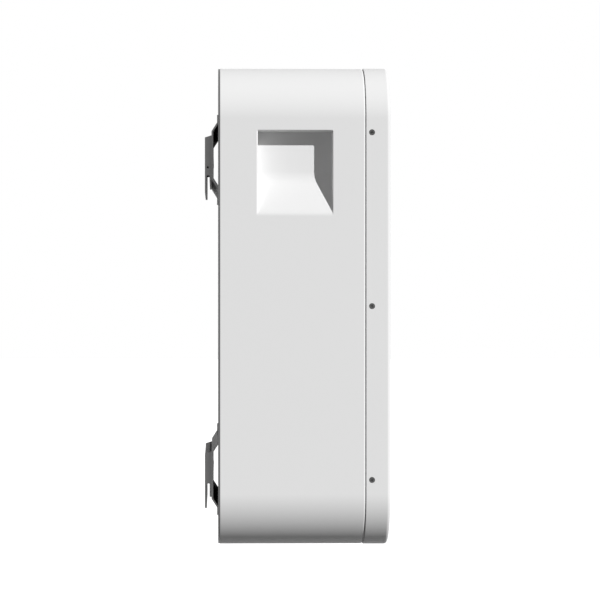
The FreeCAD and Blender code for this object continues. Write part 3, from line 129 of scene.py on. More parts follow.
def islands(node):
    """(lowest corner, highest corner) in mm of each separate solid of a node."""
    bm = bmesh.new()
    bm.from_mesh(frame["nodes"][node].data)
    bmesh.ops.remove_doubles(bm, verts=bm.verts, dist=0.00001)
    found = []
    left = set(bm.verts)
    while left:
        stack = [left.pop()]
        members = []
        while stack:
            vert = stack.pop()
            members.append(vert.co / MM)
            for edge in vert.link_edges:
                other = edge.other_vert(vert)
                if other in left:
                    left.remove(other)
                    stack.append(other)
        low = Vector(min(co[axis] for co in members) for axis in range(3))
        high = Vector(max(co[axis] for co in members) for axis in range(3))
        found.append((low, high))
    bm.free()
    return sorted(found, key=lambda pair: tuple(round(value, 3) for value in pair[0]))


shell_low, shell_high = box_mm("main_shell")
cover_low, cover_high = box_mm("front_cover")
panel_low, panel_high = box_mm("back_panel")
shell_width = shell_high.x - shell_low.x
shell_height = shell_high.z - shell_low.z
mid_z = (shell_high.z + shell_low.z) / 2
shell_front = shell_low.y + collar_length
shell_back = shell_high.y
recess_back = panel_low.y + panel_sheet
shell_radius = corner_radius - (cover_high.x - shell_high.x)
bay_ceiling = box_mm("positive_sockets")[0].z + bay_ceiling_above_sockets


# ---- Mesh helpers: a solid is a stack of loops with the same number of points ----
def stack(loops, closed=False):
    """Solid skinned over loops of points; closed joins the last loop to the first."""
    bm = bmesh.new()
    rings = [[bm.verts.new(point) for point in loop] for loop in loops]
    pairs = list(zip(rings, rings[1:]))
    if closed:
        pairs.append((rings[-1], rings[0]))
    count = len(rings[0])
    for low, high in pairs:
        for index in range(count):
            after = (index + 1) % count
            bm.faces.new((low[index], low[after], high[after], high[index]))
    if not closed:
        bm.faces.new(rings[0])
        bm.faces.new(rings[-1][::-1])
    bmesh.ops.recalc_face_normals(bm, faces=bm.faces)
    return bm


def joined(parts):
    """One mesh from several (mesh, placement) pairs."""
    result = bmesh.new()
    for bm, placement in parts:
        mesh = bpy.data.meshes.new("part")
        bm.to_mesh(mesh)
        mesh.transform(placement)
        result.from_mesh(mesh)
        bpy.data.meshes.remove(mesh)
    return result


def temporary(bm):
    mesh = bpy.data.meshes.new("temporary")
    bm.to_mesh(mesh)
    obj = bpy.data.objects.new("temporary", mesh)
    bpy.context.scene.collection.objects.link(obj)
    return obj


def boolean(bm, tool, operation="DIFFERENCE"):
    """Exact boolean of two meshes; the result takes the place of the first."""
    target = temporary(bm)
    cutter = temporary(tool)
    modifier = target.modifiers.new("cut", "BOOLEAN")
    modifier.solver = "EXACT"
    modifier.operation = operation
    modifier.object = cutter
    graph = bpy.context.evaluated_depsgraph_get()
    mesh = bpy.data.meshes.new_from_object(target.evaluated_get(graph))
    result = bmesh.new()
    result.from_mesh(mesh)
    for obj in (target, cutter):
        data = obj.data
        bpy.data.objects.remove(obj)
        bpy.data.meshes.remove(data)
    bpy.data.meshes.remove(mesh)
    bm.free()
    tool.free()
    return result


def outline(width, height, radius):
    """(x, z, outward x, outward z) round a rounded rectangle centred on (0, mid_z)."""
    points = []
    for quarter, (sx, sz) in enumerate(((1, 1), (-1, 1), (-1, -1), (1, -1))):
        cx = sx * (width / 2 - radius)
        cz = mid_z + sz * (height / 2 - radius)
        for step in range(CORNER_STEPS + 1):
            angle = math.radians(90 * (quarter + step / CORNER_STEPS))
            nx, nz = math.cos(angle), math.sin(angle)
            points.append((cx + radius * nx, cz + radius * nz, nx, nz))
    return points


def around(edge, stations):
    """Loops round an outline at (y, inset from the outline) stations."""
    return [[(x - inset * nx, y, z - inset * nz) for x, z, nx, nz in edge] for y, inset in stations]


def quarter_turn(y, inset, radius, start, steps=ARC_STEPS):
    """Stations on a quarter circle; start 0 runs from -Y to the outside, 1 from there to +Y."""
    found = []
    for step in range(steps + 1):
        angle = math.radians(90 * (start + step / steps))
        found.append((y - radius * math.cos(angle), inset - radius * math.sin(angle)))
    return found


def circle(radius, z, steps=CIRCLE_STEPS):
    turns = [2 * math.pi * step / steps for step in range(steps)]
    return [(radius * math.cos(turn), radius * math.sin(turn), z) for turn in turns]


def turned(stations, steps=CIRCLE_STEPS, closed=False):
    """Solid of revolution about Z through (radius, z) stations."""
    return stack([circle(radius, z, steps) for radius, z in stations], closed)


def rounded_loop(low, high, radius, steps=4):
    """Points round a rectangle between two (a, b) corners, with rounded corners."""
    points = []
    corners = ((high[0], high[1]), (low[0], high[1]), (low[0], low[1]), (high[0], low[1]))
    for quarter, (a, b) in enumerate(corners):
        ca = a - radius if quarter in (0, 3) else a + radius
        cb = b - radius if quarter in (0, 1) else b + radius
        for step in range(steps + 1):
            angle = math.radians(90 * (quarter + step / steps))
            points.append((ca + radius * math.cos(angle), cb + radius * math.sin(angle)))
    return points


def facing(origin, direction):
    """Placement that turns +Z to a direction and moves the origin."""
    turn = Vector((0, 0, 1)).rotation_difference(Vector(direction)).to_matrix().to_4x4()
    return Matrix.Translation(origin) @ turn


def piece(name, bm, slot, replaced=(), body=ROOT):
    """Object made from a mesh in mm, with clean shading, the finish of its slot and a body."""
    mesh = bpy.data.meshes.new(name)
    bmesh.ops.recalc_face_normals(bm, faces=bm.faces)
    bm.to_mesh(mesh)
    bm.free()
    mesh.transform(Matrix.Scale(MM, 4))
    for polygon in mesh.polygons:
        polygon.use_smooth = True
    mesh.set_sharp_from_angle(angle=math.radians(SHARP_ANGLE))
    obj = bpy.data.objects.new(name, mesh)
    bpy.context.scene.collection.objects.link(obj)
    mesh.materials.append(MATERIALS[slot])
    normals = obj.modifiers.new("normals", "WEIGHTED_NORMAL")
    normals.keep_sharp = True
    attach(obj, body)
    if replaced:
        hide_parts(*replaced)


# ---- Materials ----
def drift_colour(tree, place, colour, drift, scale):
    """Slow noise between a darker and a lighter shade, in the base colour."""
    slow = tree.nodes.new("ShaderNodeTexNoise")
    slow.inputs["Scale"].default_value = scale
    slow.inputs["Detail"].default_value = 3.0
    tree.links.new(place, slow.inputs["Vector"])
    mix = tree.nodes.new("ShaderNodeMix")
    mix.data_type = "RGBA"
    mix.inputs["A"].default_value = tuple(value * (1 - drift) for value in colour) + (1.0,)
    mix.inputs["B"].default_value = tuple(min(1.0, value * (1 + drift)) for value in colour) + (1.0,)
    tree.links.new(slow.outputs["Fac"], mix.inputs["Factor"])
    tree.links.new(mix.outputs["Result"], tree.nodes["Principled BSDF"].inputs["Base Color"])


def add_grain(tree, place, roughness, scale, height):
    """Fine noise in the roughness and the normal; height is in metres."""
    shader = tree.nodes["Principled BSDF"]
    fine = tree.nodes.new("ShaderNodeTexNoise")
    fine.inputs["Scale"].default_value = scale
    fine.inputs["Detail"].default_value = 4.0
    tree.links.new(place, fine.inputs["Vector"])
    spread = tree.nodes.new("ShaderNodeMapRange")
    spread.inputs["To Min"].default_value = roughness - ROUGHNESS_DRIFT
    spread.inputs["To Max"].default_value = roughness + ROUGHNESS_DRIFT
    tree.links.new(fine.outputs["Fac"], spread.inputs["Value"])
    tree.links.new(spread.outputs["Result"], shader.inputs["Roughness"])
    bump = tree.nodes.new("ShaderNodeBump")
    bump.inputs["Strength"].default_value = 1.0
    bump.inputs["Distance"].default_value = height
    tree.links.new(fine.outputs["Fac"], bump.inputs["Height"])
    tree.links.new(bump.outputs["Normal"], shader.inputs["Normal"])


def surface(
    name,
    colour,
    roughness,
    metallic=0.0,
    drift=0.03,
    drift_scale=9.0,
    grain=500.0,
    grain_height=0.00002,
    stretch=(1.0, 1.0, 1.0),
    specular=0.5,
    clear=0.0,
    edge=1.0,
):
    """Principled surface; clear lets light through and edge tints what it reflects."""
    material = bpy.data.materials.new(name)
    material.use_nodes = True
    tree = material.node_tree
    shader = tree.nodes["Principled BSDF"]
    shader.inputs["Metallic"].default_value = metallic
    shader.inputs["Specular IOR Level"].default_value = specular
    shader.inputs["Transmission Weight"].default_value = clear
    shader.inputs["Specular Tint"].default_value = (edge, edge, edge, 1.0)
    texture = tree.nodes.new("ShaderNodeTexCoord")
    mapping = tree.nodes.new("ShaderNodeMapping")
    mapping.inputs["Scale"].default_value = stretch
    tree.links.new(texture.outputs["Object"], mapping.inputs["Vector"])
    place = mapping.outputs["Vector"]
    drift_colour(tree, place, colour, drift, drift_scale)
    add_grain(tree, place, roughness, grain, grain_height)
    return material


def grey(value):
    return (value, value, value)


MATERIALS = {
    "cabinet_white": surface(
        "white_powder_coat",
        grey(0.80),
        0.55,
        drift=0.006,
        grain=620.0,
        grain_height=0.000012,
        specular=0.12,
    ),
    "cup_white": surface(
        "white_moulding",
        grey(0.80),
        0.55,
        drift=0.006,
        grain=1500.0,
        grain_height=0.000006,
        specular=0.12,
    ),
    "panel_grey": surface("panel_grey_coat", grey(0.115), 0.48, drift=0.05, grain=900.0),
    "hanger_grey": surface(
        "hanger_grey_coat", grey(0.20), 0.42, metallic=0.8, drift=0.06, grain=900.0, edge=0.0
    ),
    "screw_dark": surface("blackened_steel", grey(0.09), 0.36, metallic=0.7, drift=0.2, drift_scale=300.0),
    "zinc_steel": surface(
        "zinc_plate", (0.62, 0.63, 0.64), 0.34, metallic=1.0, drift=0.12, drift_scale=120.0
    ),
    "gasket_rubber": surface(
        "black_rubber", grey(0.022), 0.75, drift=0.2, grain=1400.0, grain_height=0.00005
    ),
    "black_plastic": surface("black_moulding", grey(0.026), 0.42, drift=0.08, grain=1300.0),
    "orange_plastic": surface("orange_moulding", (0.83, 0.22, 0.022), 0.40, drift=0.04, grain=1300.0),
    "grey_plastic": surface("grey_moulding", grey(0.30), 0.45, drift=0.04, grain=1300.0),
    "contact_brass": surface(
        "brass_contact", (0.78, 0.56, 0.22), 0.28, metallic=1.0, drift=0.06, drift_scale=90.0
    ),
    "link_copper": surface(
        "copper_bar", (0.86, 0.42, 0.25), 0.30, metallic=1.0, drift=0.1, drift_scale=70.0
    ),
    "bar_aluminium": surface(
        "brushed_aluminium",
        grey(0.72),
        0.36,
        metallic=1.0,
        drift=0.05,
        grain=300.0,
        stretch=(0.08, 1.0, 6.0),
    ),
    "cell_can": surface("cell_wrap", (0.05, 0.16, 0.36), 0.38, drift=0.06, grain=900.0),
    "spacer_film": surface("spacer_film", (0.75, 0.74, 0.68), 0.55, drift=0.05),
    "shield_clear": surface("clear_shield", grey(0.9), 0.12, drift=0.01, clear=0.9),
    "board_green": surface(
        "board_green", (0.012, 0.13, 0.045), 0.35, drift=0.25, drift_scale=160.0
    ),
    "component_black": surface("component_black", grey(0.02), 0.5, drift=0.2, drift_scale=200.0),
    "fuse_ceramic": surface("fuse_ceramic", (0.82, 0.80, 0.74), 0.5, drift=0.04),
    "lens_white": surface("lens_white", grey(0.74), 0.30, drift=0.01, grain=1500.0, clear=0.25),
}
NODE_SLOTS = {part["node"]: part["material_slot"] for part in frame["record"]["subparts"]}


def dress_nodes():
    """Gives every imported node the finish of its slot."""
    for node, obj in frame["nodes"].items():
        material = MATERIALS[NODE_SLOTS[node]]
        if not obj.material_slots:
            obj.data.materials.append(material)
        for slot in obj.material_slots:
            slot.material = material


# ---- Hand pockets ----
def pocket_bottom(depth, grow=0.0):
    """Height above the sill line of the pocket's lower side at a depth; grow is a wall outside it."""
    angle = math.atan2(pocket_depth, pocket_ramp_height)
    drop = grow / math.sin(angle)
    radius = pocket_knee_radius + grow
    floor = pocket_depth + grow
    knee = floor / math.tan(angle) - drop
    tangent = radius * math.tan(angle / 2)
    if depth > floor - tangent * math.sin(angle):
        reach = min(1.0, (depth - floor + radius) / radius)
        return knee + tangent - radius * math.sqrt(1 - reach * reach)
    sill = pocket_sill_round * math.tan(angle / 2)
    if not grow and depth < sill * math.sin(angle):
        lean = math.acos(1 - max(depth, 0.0) / pocket_sill_round)
        return pocket_sill_round * math.sin(lean) - sill
    return depth / math.tan(angle) - drop


def pocket_places():
    """(y, z) corners of the pocket's straight walls, inside its rolled edge."""
    low, high = box_mm("handle_cup_left")
    margin = cup_wall + cup_flange
    return (low.y + margin, low.z + margin), (high.y - margin, high.z - margin)


def roll_at(depth, radius):
    """How far a rolled edge stands back from the pocket's wall at a depth."""
    rest = max(0.0, radius - max(depth, 0.0))
    return radius - math.sqrt(radius**2 - rest**2)


def pocket_loop(side, depth, grow=0.0):
    """Loop of the pocket at a depth behind the shell's face, on the -X or +X side."""
    low, high = pocket_places()
    roll = 0.0 if grow else roll_at(depth, pocket_edge_round)
    rear_roll = 0.0 if grow else roll_at(depth, pocket_rear_round)
    corner = pocket_corner_round + grow + roll
    bottom = low[1] + pocket_bottom(depth, grow)
    front = low[0] - grow - roll
    back = high[0] + grow + rear_roll
    points = rounded_loop((front, bottom), (back, high[1] + grow + roll), corner)
    return [(side * (shell_width / 2 - depth), y, z) for y, z in points]


def arc_depths(start, stop, steps):
    """Depths that crowd towards stop, for the knee."""
    return [start + (stop - start) * math.sin(math.pi / 2 * step / steps) for step in range(steps + 1)]


def pocket_cutter(side):
    """Space of the pocket's mouth through the shell's wall, with its rolled edge."""
    turns = [math.pi / 2 * step / ARC_STEPS for step in range(ARC_STEPS + 1)]
    rolled = [pocket_edge_round * (1 - math.cos(turn)) for turn in turns]
    depths = [-1.0] + rolled + [1.1, 1.3, 1.5, 1.75, shell_wall, pocket_rear_round]
    return stack([pocket_loop(side, depth) for depth in depths])


def flange_loop(side, depth, reach):
    """Loop round the cup's flange at a depth, reaching out from the pocket's straight walls."""
    low, high = pocket_places()
    corner = pocket_corner_round + cup_flange / 2
    points = rounded_loop((low[0] - reach, low[1] - reach), (high[0] + reach, high[1] + reach), corner)
    return [(side * (shell_width / 2 - depth), y, z) for y, z in points]


def handle_cup(side):
    """Moulded cup: flat floor, round knee, sloping sill and a flange behind the shell."""
    angle = math.atan2(pocket_depth, pocket_ramp_height)
    tangent = pocket_knee_radius * math.tan(angle / 2)
    knee_start = pocket_depth - tangent * math.sin(angle)
    inner_depths = [shell_wall, 2.2, pocket_rear_round] + arc_depths(knee_start, pocket_depth, 14)
    outer_knee = (pocket_knee_radius + cup_wall) * math.tan(angle / 2) * math.sin(angle)
    outer_floor = pocket_depth + cup_wall
    flange_front = shell_wall + cup_seal
    flange_back = flange_front + cup_wall
    outer_depths = [flange_back] + arc_depths(outer_floor - outer_knee, outer_floor, 8)
    margin = cup_wall + cup_flange
    loops = [pocket_loop(side, depth) for depth in reversed(inner_depths)]
    loops.append(pocket_loop(side, shell_wall, cup_wall))
    loops.append(flange_loop(side, flange_front, margin))
    loops.append(flange_loop(side, flange_back, margin))
    loops.extend(pocket_loop(side, depth, cup_wall) for depth in outer_depths)
    return stack(loops)


# ---- Cabinet ----
def countersink(radius, head_radius, depth=hole_depth):
    """Tool that sinks a flush screw: a cone with a short straight mouth."""
    mouth = head_radius + head_clearance
    neck = -head_seat_depth - head_radius + radius
    stations = [(mouth, 2.0), (mouth, -head_seat_depth), (radius + head_clearance, neck), (radius, -depth)]
    return turned(stations)


def outward(low, high):
    """Direction along X away from the middle of the unit."""
    return Vector((1 if low.x + high.x > 0 else -1, 0, 0))


def head_place(low, high, way, sink=0.0):
    """Placement in the middle of the side of a box that faces a way, moved in by sink."""
    along = max(range(3), key=lambda axis: abs(way[axis]))
    seat = (low + high) / 2
    seat[along] = (high[along] if way[along] > 0 else low[along]) - sink * way[along]
    return facing(seat, way)


def behind_shell(high):
    """Whether a fastener's top corner lies behind the shell's rear face."""
    return high.y > shell_back


def back_holes(node, size, bottom, top):
    """Tools for the fasteners of a node that face the wall, between two heights."""
    tools = []
    for low, high in islands(node):
        if bottom < low.z < top:
            tools.append((countersink(*size), head_place(low, high, (0, 1, 0))))
    return tools


def shell_mesh():
    edge = outline(shell_width, shell_height, shell_radius)
    stations = [(shell_low.y, collar_inset), (shell_front, collar_inset)]
    stations += quarter_turn(shell_front + shell_front_round, shell_front_round, shell_front_round, 0)
    stations += quarter_turn(shell_back - shell_rear_round, shell_rear_round, shell_rear_round, 1)
    stations.append((shell_back, rear_flange_width))
    stations.append((shell_back - shell_wall, rear_flange_width))
    stations.append((shell_back - shell_wall, shell_wall))
    stations.append((shell_front + shell_wall, shell_wall))
    stations.append((shell_front + shell_wall, collar_inset + shell_wall))
    stations.append((shell_low.y, collar_inset + shell_wall))
    bm = stack(around(edge, stations), closed=True)
    tools = [(pocket_cutter(side), IN_PLACE) for side in (-1, 1)]
    low, high = box_mm("bay_tray")
    near = (low.x + bay_rim, low.y + bay_rim)
    far = (high.x - bay_rim, high.y - bay_rim)
    mouth = rounded_loop(near, far, bay_mouth_round)
    tools.append((stack([[(x, y, z) for x, y in mouth] for z in (-5.0, 4.0)]), IN_PLACE))
    for low, high in islands("bay_tray_screws"):
        tools.append((countersink(*bay_screw), head_place(low, high, (0, 0, -1))))
    return boolean(bm, joined(tools))


def cover_mesh():
    edge = outline(cover_high.x - cover_low.x, cover_high.z - cover_low.z, corner_radius)
    front = cover_low.y
    back = cover_high.y
    stations = quarter_turn(front + cover_front_round, cover_front_round, cover_front_round, 0)
    stations += quarter_turn(back - cover_rear_round, cover_rear_round, cover_rear_round, 1)
    stations.append((back, cover_wall))
    stations.append((front + cover_wall, cover_wall))
    bm = stack(around(edge, stations))
    tools = []
    for low, high in islands("cover_screws"):
        hole = countersink(*cover_screw, cover_hole_depth)
        tools.append((hole, head_place(low, high, outward(low, high))))
    low, high = box_mm("status_window")
    inset = window_lip - window_gap
    near = (low.x + inset, low.z + inset)
    far = (high.x - inset, high.z - inset)
    slot = rounded_loop(near, far, window_slot_round, 8)
    tools.append((stack([[(x, y, z) for x, z in slot] for y in (front - 2.0, front + 6.0)]), IN_PLACE))
    return boolean(bm, joined(tools))


def panel_mesh():
    edge = outline(panel_high.x - panel_low.x, panel_high.z - panel_low.z, shell_radius - 0.4)
    press = panel_sheet * 0.4
    step = panel_rim_width - panel_sheet
    stations = [(panel_low.y, step + press), (panel_low.y + 0.4 * press, step + 0.3 * press)]
    stations += [(panel_low.y + press, step), (shell_back, step), (shell_back, 0.0)]
    back = panel_high.y - panel_sink
    stations += quarter_turn(back - panel_edge, panel_edge, panel_edge, 1, 3)
    rim = panel_rim_width - press
    stations += [(back, rim - press), (back - 0.15, rim - 0.4 * press)]
    stations += [(recess_back + 0.3, rim + 0.7 * press), (recess_back, rim + 1.3 * press)]
    bm = stack(around(edge, stations))
    tools = []
    for node, size in (("back_panel_screws", cover_screw), ("carrier_screws", carrier_screw)):
        for low, high in islands(node):
            if behind_shell(high):
                sink = panel_sink if high.y > recess_back + 0.5 else 0.0
                tools.append((countersink(*size), head_place(low, high, (0, 1, 0), sink)))
    return boolean(bm, joined(tools))


# ---- Fasteners ----
def cross_recess(head_radius, depth):
    """Tapered cross that a driver fits."""
    loops = []
    for z, scale in ((0.3, 1.06), (0.0, 1.0), (-depth, 0.42)):
        arm = 0.56 * head_radius * scale
        half = 0.135 * head_radius * (0.6 + 0.4 * scale)
        corners = ((half, arm), (half, half), (arm, half))
        loop = []
        for quarter in range(4):
            turn = Matrix.Rotation(-math.pi / 2 * quarter, 2)
            for corner in corners:
                a, b = turn @ Vector(corner)
                loop.append((a, b, z))
        loops.append(loop)
    return stack(loops)


def flush_head(radius, head_radius, length):
    """Countersunk screw with a cross recess; its top face is at z = 0."""
    edge = 0.06 * head_radius
    stations = [
        (head_radius - edge, 0.0),
        (head_radius, -edge),
        (radius, -edge - head_radius + radius),
        (radius, -length),
    ]
    return boolean(turned(stations), cross_recess(head_radius, 0.55 * head_radius))


def pan_head(radius, length):
    """Pan-head screw with a cross recess; its seat is at z = 0."""
    head_radius = 1.8 * radius
    height = 1.1 * radius
    stations = []
    for step in range(7):
        angle = math.pi / 2 * step / 6
        reach = head_radius * (0.55 + 0.45 * math.sin(angle))
        stations.append((reach, height * (0.35 + 0.65 * math.cos(angle))))
    stations += [(head_radius, 0.0), (radius, 0.0), (radius, -length)]
    recess = joined([(cross_recess(head_radius, 0.5 * height), Matrix.Translation((0, 0, height)))])
    return boolean(turned(stations), recess)


def rivet_head(radius, head_radius, tail_radius):
    """Flush rivet with a small dimple in its head and a flat tail behind two sheets."""
    stations = [
        (0.28 * head_radius, -0.35),
        (0.36 * head_radius, -0.06),
        (head_radius - 0.2, 0.0),
        (head_radius, -0.2),
        (radius, -head_radius + radius),
        (radius, -5.0),
        (tail_radius, -5.0),
        (tail_radius, -5.2),
        (tail_radius - 0.8, -5.4),
    ]
    return turned(stations)


def spin(index):
    """Turn about Z under 90 degrees that differs from screw to screw, as a driver leaves them."""
    return Matrix.Rotation(math.radians((37 * index + 11) % 90), 4, "Z")


def flush_screws(name, node, direction, size, slot, headed=None, sink=0.0):
    """Screws of one node whose heads face one way; None means outwards along X."""
    parts = []
    for index, (low, high) in enumerate(islands(node)):
        way = Vector(direction) if direction else outward(low, high)
        reach = high - low
        if headed and not headed(high):
            radius = reach.x / 2
            head = turned([(0.9 * radius, 0.0), (radius, -0.3), (radius, -reach.y)])
        else:
            head = flush_head(*size, abs(reach.dot(way)) - sink)
        parts.append((head, head_place(low, high, way, sink) @ spin(index)))
    piece(name, joined(parts), slot, (node,))


def build_fasteners():
    flush_screws("cover_screws_dressed", "cover_screws", None, cover_screw, "screw_dark")
    flush_screws(
        "panel_screws_dressed", "back_panel_screws", (0, 1, 0), cover_screw, "screw_dark", sink=panel_sink
    )
    flush_screws("bay_screws_dressed", "bay_tray_screws", (0, 0, -1), bay_screw, "screw_dark")
    flush_screws("rail_screws_dressed", "rail_screws", (0, 1, 0), rail_screw, "zinc_steel")
    flush_screws(
        "carrier_screws_dressed", "carrier_screws", (0, 1, 0), carrier_screw, "zinc_steel", behind_shell
    )
    rivets = []
    for low, high in islands("hook_rivets"):
        rivets.append((rivet_head(*hook_rivet, rivet_tail_radius), head_place(low, high, (0, 1, 0))))
    piece("hook_rivets_dressed", joined(rivets), "zinc_steel", ("hook_rivets",))


# ---- Hanging rails and hooks ----
def bend_points(points, index, radius):
    """Points on the arc that rounds one corner of a path."""
    before, corner, after = (Vector(points[index + offset]) for offset in (-1, 0, 1))
    inward = (before - corner).normalized()
    outward = (after - corner).normalized()
    half = inward.angle(outward) / 2
    centre = corner + (inward + outward).normalized() * (radius / math.sin(half))
    start = corner + inward * (radius / math.tan(half)) - centre
    stop = corner + outward * (radius / math.tan(half)) - centre
    sweep = math.atan2(start.x * stop.y - start.y * stop.x, start.dot(stop))
    turns = [Matrix.Rotation(sweep * step / BEND_STEPS, 2) for step in range(BEND_STEPS + 1)]
    return [tuple(centre + turn @ start) for turn in turns]


def offset_path(points, distance):
    """Path moved to the left of the way it runs, with mitred corners."""
    moved = []
    for index, point in enumerate(points):
        normals = []
        for first in (index - 1, index):
            if 0 <= first < len(points) - 1:
                step = (Vector(points[first + 1]) - Vector(points[first])).normalized()
                normals.append(Vector((-step.y, step.x)))
        normal = sum(normals, Vector((0, 0))) / len(normals)
        moved.append(tuple(Vector(point) + normal * (distance / normal.length_squared)))
    return moved


def sheet_section(points, thickness):
    """Closed outline of a folded sheet, its thickness to the left of the path."""
    left = offset_path(points, thickness)
    right_side = [points[0]]
    left_side = [left[0]]
    for index in range(1, len(points) - 1):
        before = Vector(points[index]) - Vector(points[index - 1])
        after = Vector(points[index + 1]) - Vector(points[index])
        turns_left = before.x * after.y - before.y * after.x > 0
        outer = fold_inside_radius + thickness
        right_side += bend_points(points, index, outer if turns_left else fold_inside_radius)
        left_side += bend_points(left, index, fold_inside_radius if turns_left else outer)
    right_side.append(points[-1])
    left_side.append(left[-1])
    return right_side + left_side[::-1]


def folded_sheet(points, thickness, x_from, x_to):
    """Sheet folded along a path, with its cut ends eased."""
    whole = sheet_section(points, thickness)
    drawn = offset_path(points, sheet_edge)
    for end, inner in ((0, 1), (-1, -2)):
        way = (Vector(points[inner]) - Vector(points[end])).normalized()
        drawn[end] = tuple(Vector(drawn[end]) + way * sheet_edge)
    eased = sheet_section(drawn, thickness - 2 * sheet_edge)
    sections = ((x_from, eased), (x_from + sheet_edge, whole), (x_to - sheet_edge, whole), (x_to, eased))
    return stack([[(x, y, z) for y, z in section] for x, section in sections])


def rail_mesh(node):
    low, high = box_mm(node)
    centre = (low.z + high.z) / 2
    web = rail_web_height / 2
    slope = web + rail_slope_height
    edge = slope + rail_flange_height
    near = low.y
    far = high.y - hanger_sheet
    points = [
        (near, centre + edge),
        (near, centre + slope),
        (far, centre + web),
        (far, centre - web),
        (near, centre - slope),
        (near, centre - edge),
    ]
    holes = back_holes("rail_screws", rail_screw, low.z, high.z)
    return boolean(folded_sheet(points, hanger_sheet, low.x, high.x), joined(holes))


def cheek_mesh(outer, inner, corners):
    """Plate that closes one end of a hook, its outer edges eased."""
    middle = sum((Vector(corner) for corner in corners), Vector((0, 0))) / len(corners)
    eased = []
    for corner in corners:
        way = Vector(corner) - middle
        y = corner[0] - math.copysign(sheet_edge, way.x)
        z = corner[1] - math.copysign(sheet_edge, way.y)
        eased.append((y, z))
    near = outer + math.copysign(sheet_edge, inner - outer)
    sections = ((outer, eased), (near, corners), (inner, corners))
    return stack([[(x, y, z) for y, z in section] for x, section in sections])


def hook_mesh(node):
    low, high = box_mm(node)
    leg_y = high.y
    lip_y = low.y
    crown = high.z - hook_crown_rise
    points = [
        (leg_y, low.z),
        (leg_y, crown),
        (lip_y, crown + hook_crown_rise),
        (lip_y, crown + hook_crown_rise - hook_lip_height),
    ]
    bm = folded_sheet(points, hook_sheet, low.x, high.x)
    cheeks = []
    ends = (
        (low.x, low.x + hanger_sheet, near_cheek_height[node]),
        (high.x, high.x - hanger_sheet, hook_cheek_height),
    )
    for outer, inner, height in ends:
        foot = crown - height
        corners = [(leg_y, foot), (leg_y, crown), (lip_y, crown + hook_crown_rise), (lip_y, foot)]
        cheeks.append((cheek_mesh(outer, inner, corners), IN_PLACE))
    bm = boolean(bm, joined(cheeks), "UNION")
    tools = []
    if near_cheek_height[node] > hook_cheek_height:
        foot = crown - hook_cheek_height
        punched = Vector((low.x, leg_y - hook_punch_from_leg, foot + hook_punch_rise))
        tools.append((countersink(*hook_punch), facing(punched, (-1, 0, 0))))
    tools += back_holes("hook_rivets", hook_rivet, low.z, high.z)
    return boolean(bm, joined(tools))


def build_hangers():
    for level in ("upper", "lower"):
        rail = level + "_hanger_rail"
        hook = level + "_hook_bracket"
        piece(rail + "_dressed", rail_mesh(rail), "hanger_grey", (rail,))
        piece(hook + "_dressed", hook_mesh(hook), "hanger_grey", (hook,))


# ---- Connection bay: its sockets, switch, breaker, stud and plug are drawn with its ceiling at z = 0 ----
def on_ceiling(low, high):
    """Placement on the bay's ceiling, in the middle of a box."""
    return Matrix.Translation(((low.x + high.x) / 2, (low.y + high.y) / 2, bay_ceiling))


def prism(low, high, heights, radius=0.3, steps=3):
    """Upright block between two (x, y) corners; heights are (z, inset) pairs."""
    loops = []
    for z, inset in heights:
        near = (low[0] + inset, low[1] + inset)
        far = (high[0] - inset, high[1] - inset)
        loop = rounded_loop(near, far, max(0.05, radius - inset), steps)
        loops.append([(x, y, z) for x, y in loop])
    return stack(loops)


def round_about(bm, count):
    """Copies of a mesh turned evenly about Z."""
    turns = [Matrix.Rotation(2 * math.pi * step / count, 4, "Z") for step in range(count)]
    return joined([(bm, turn) for turn in turns])


def socket_mesh():
    """Screwed flange, ribbed barrel with three keyways in its bore, and a neck above."""
    flange = prism((-14.0, -14.0), (14.0, 14.0), ((0.0, 0.0), (-2.5, 0.0), (-3.0, 0.5)), 3.0, 6)
    stations = [(8.0, -1.5), (12.0, -1.5)]
    for rib in range(3):
        top = -5.2 - 3.6 * rib
        stations += [(12.0, top), (11.3, top - 0.5), (11.3, top - 1.6), (12.0, top - 2.1)]
    stations += [(12.0, -18.9), (11.8, -19.5), (11.2, -19.9), (10.6, -20.0)]
    stations += [(9.0, -20.0), (8.5, -19.9), (8.15, -19.5), (8.0, -19.0)]
    barrel = turned(stations, 56, closed=True)
    keyway = prism((7.0, -1.2), (9.1, 1.2), ((-21.0, 0.0), (-9.0, 0.0)), 0.3)
    barrel = boolean(barrel, round_about(keyway, 3))
    neck = turned([(3.1, -0.5), (9.0, -0.5), (9.0, 13.0), (8.5, 13.5), (3.1, 13.5)], 32, closed=True)
    return joined([(flange, IN_PLACE), (barrel, IN_PLACE), (neck, IN_PLACE)])


def contact_mesh(top):
    """Turned pin with a rounded tip and a groove, and its stud up to a height."""
    stations = [(0.9, -9.0), (1.9, -8.9), (2.6, -8.5), (2.95, -7.8), (3.0, -7.0), (3.0, -4.6)]
    stations += [(2.7, -4.4), (2.7, -4.0), (3.0, -3.8), (3.0, top - 0.5), (2.5, top)]
    return turned(stations, 32)


def build_sockets():
    screws = []
    for node, slot in (("positive_sockets", "orange_plastic"), ("negative_sockets", "black_plastic")):
        parts = []
        for low, high in islands(node):
            x, y = (low.x + high.x) / 2, (low.y + high.y) / 2
            parts.append((socket_mesh(), on_ceiling(low, high)))
            for index, (sx, sy) in enumerate(((1, 1), (-1, 1), (-1, -1), (1, -1))):
                seat = (x + sx * 10.8, y + sy * 10.8, bay_ceiling - 3.0)
                screws.append((pan_head(0.9, 2.0), facing(seat, (0, 0, -1)) @ spin(index + int(x))))
        piece(node + "_dressed", joined(parts), slot, (node,))
    piece("socket_screws_dressed", joined(screws), "zinc_steel")
    pins = []
    for low, high in islands("socket_contacts"):
        pins.append((contact_mesh(high.z - bay_ceiling), on_ceiling(low, high)))
    piece("contacts_dressed", joined(pins), "contact_brass", ("socket_contacts",))


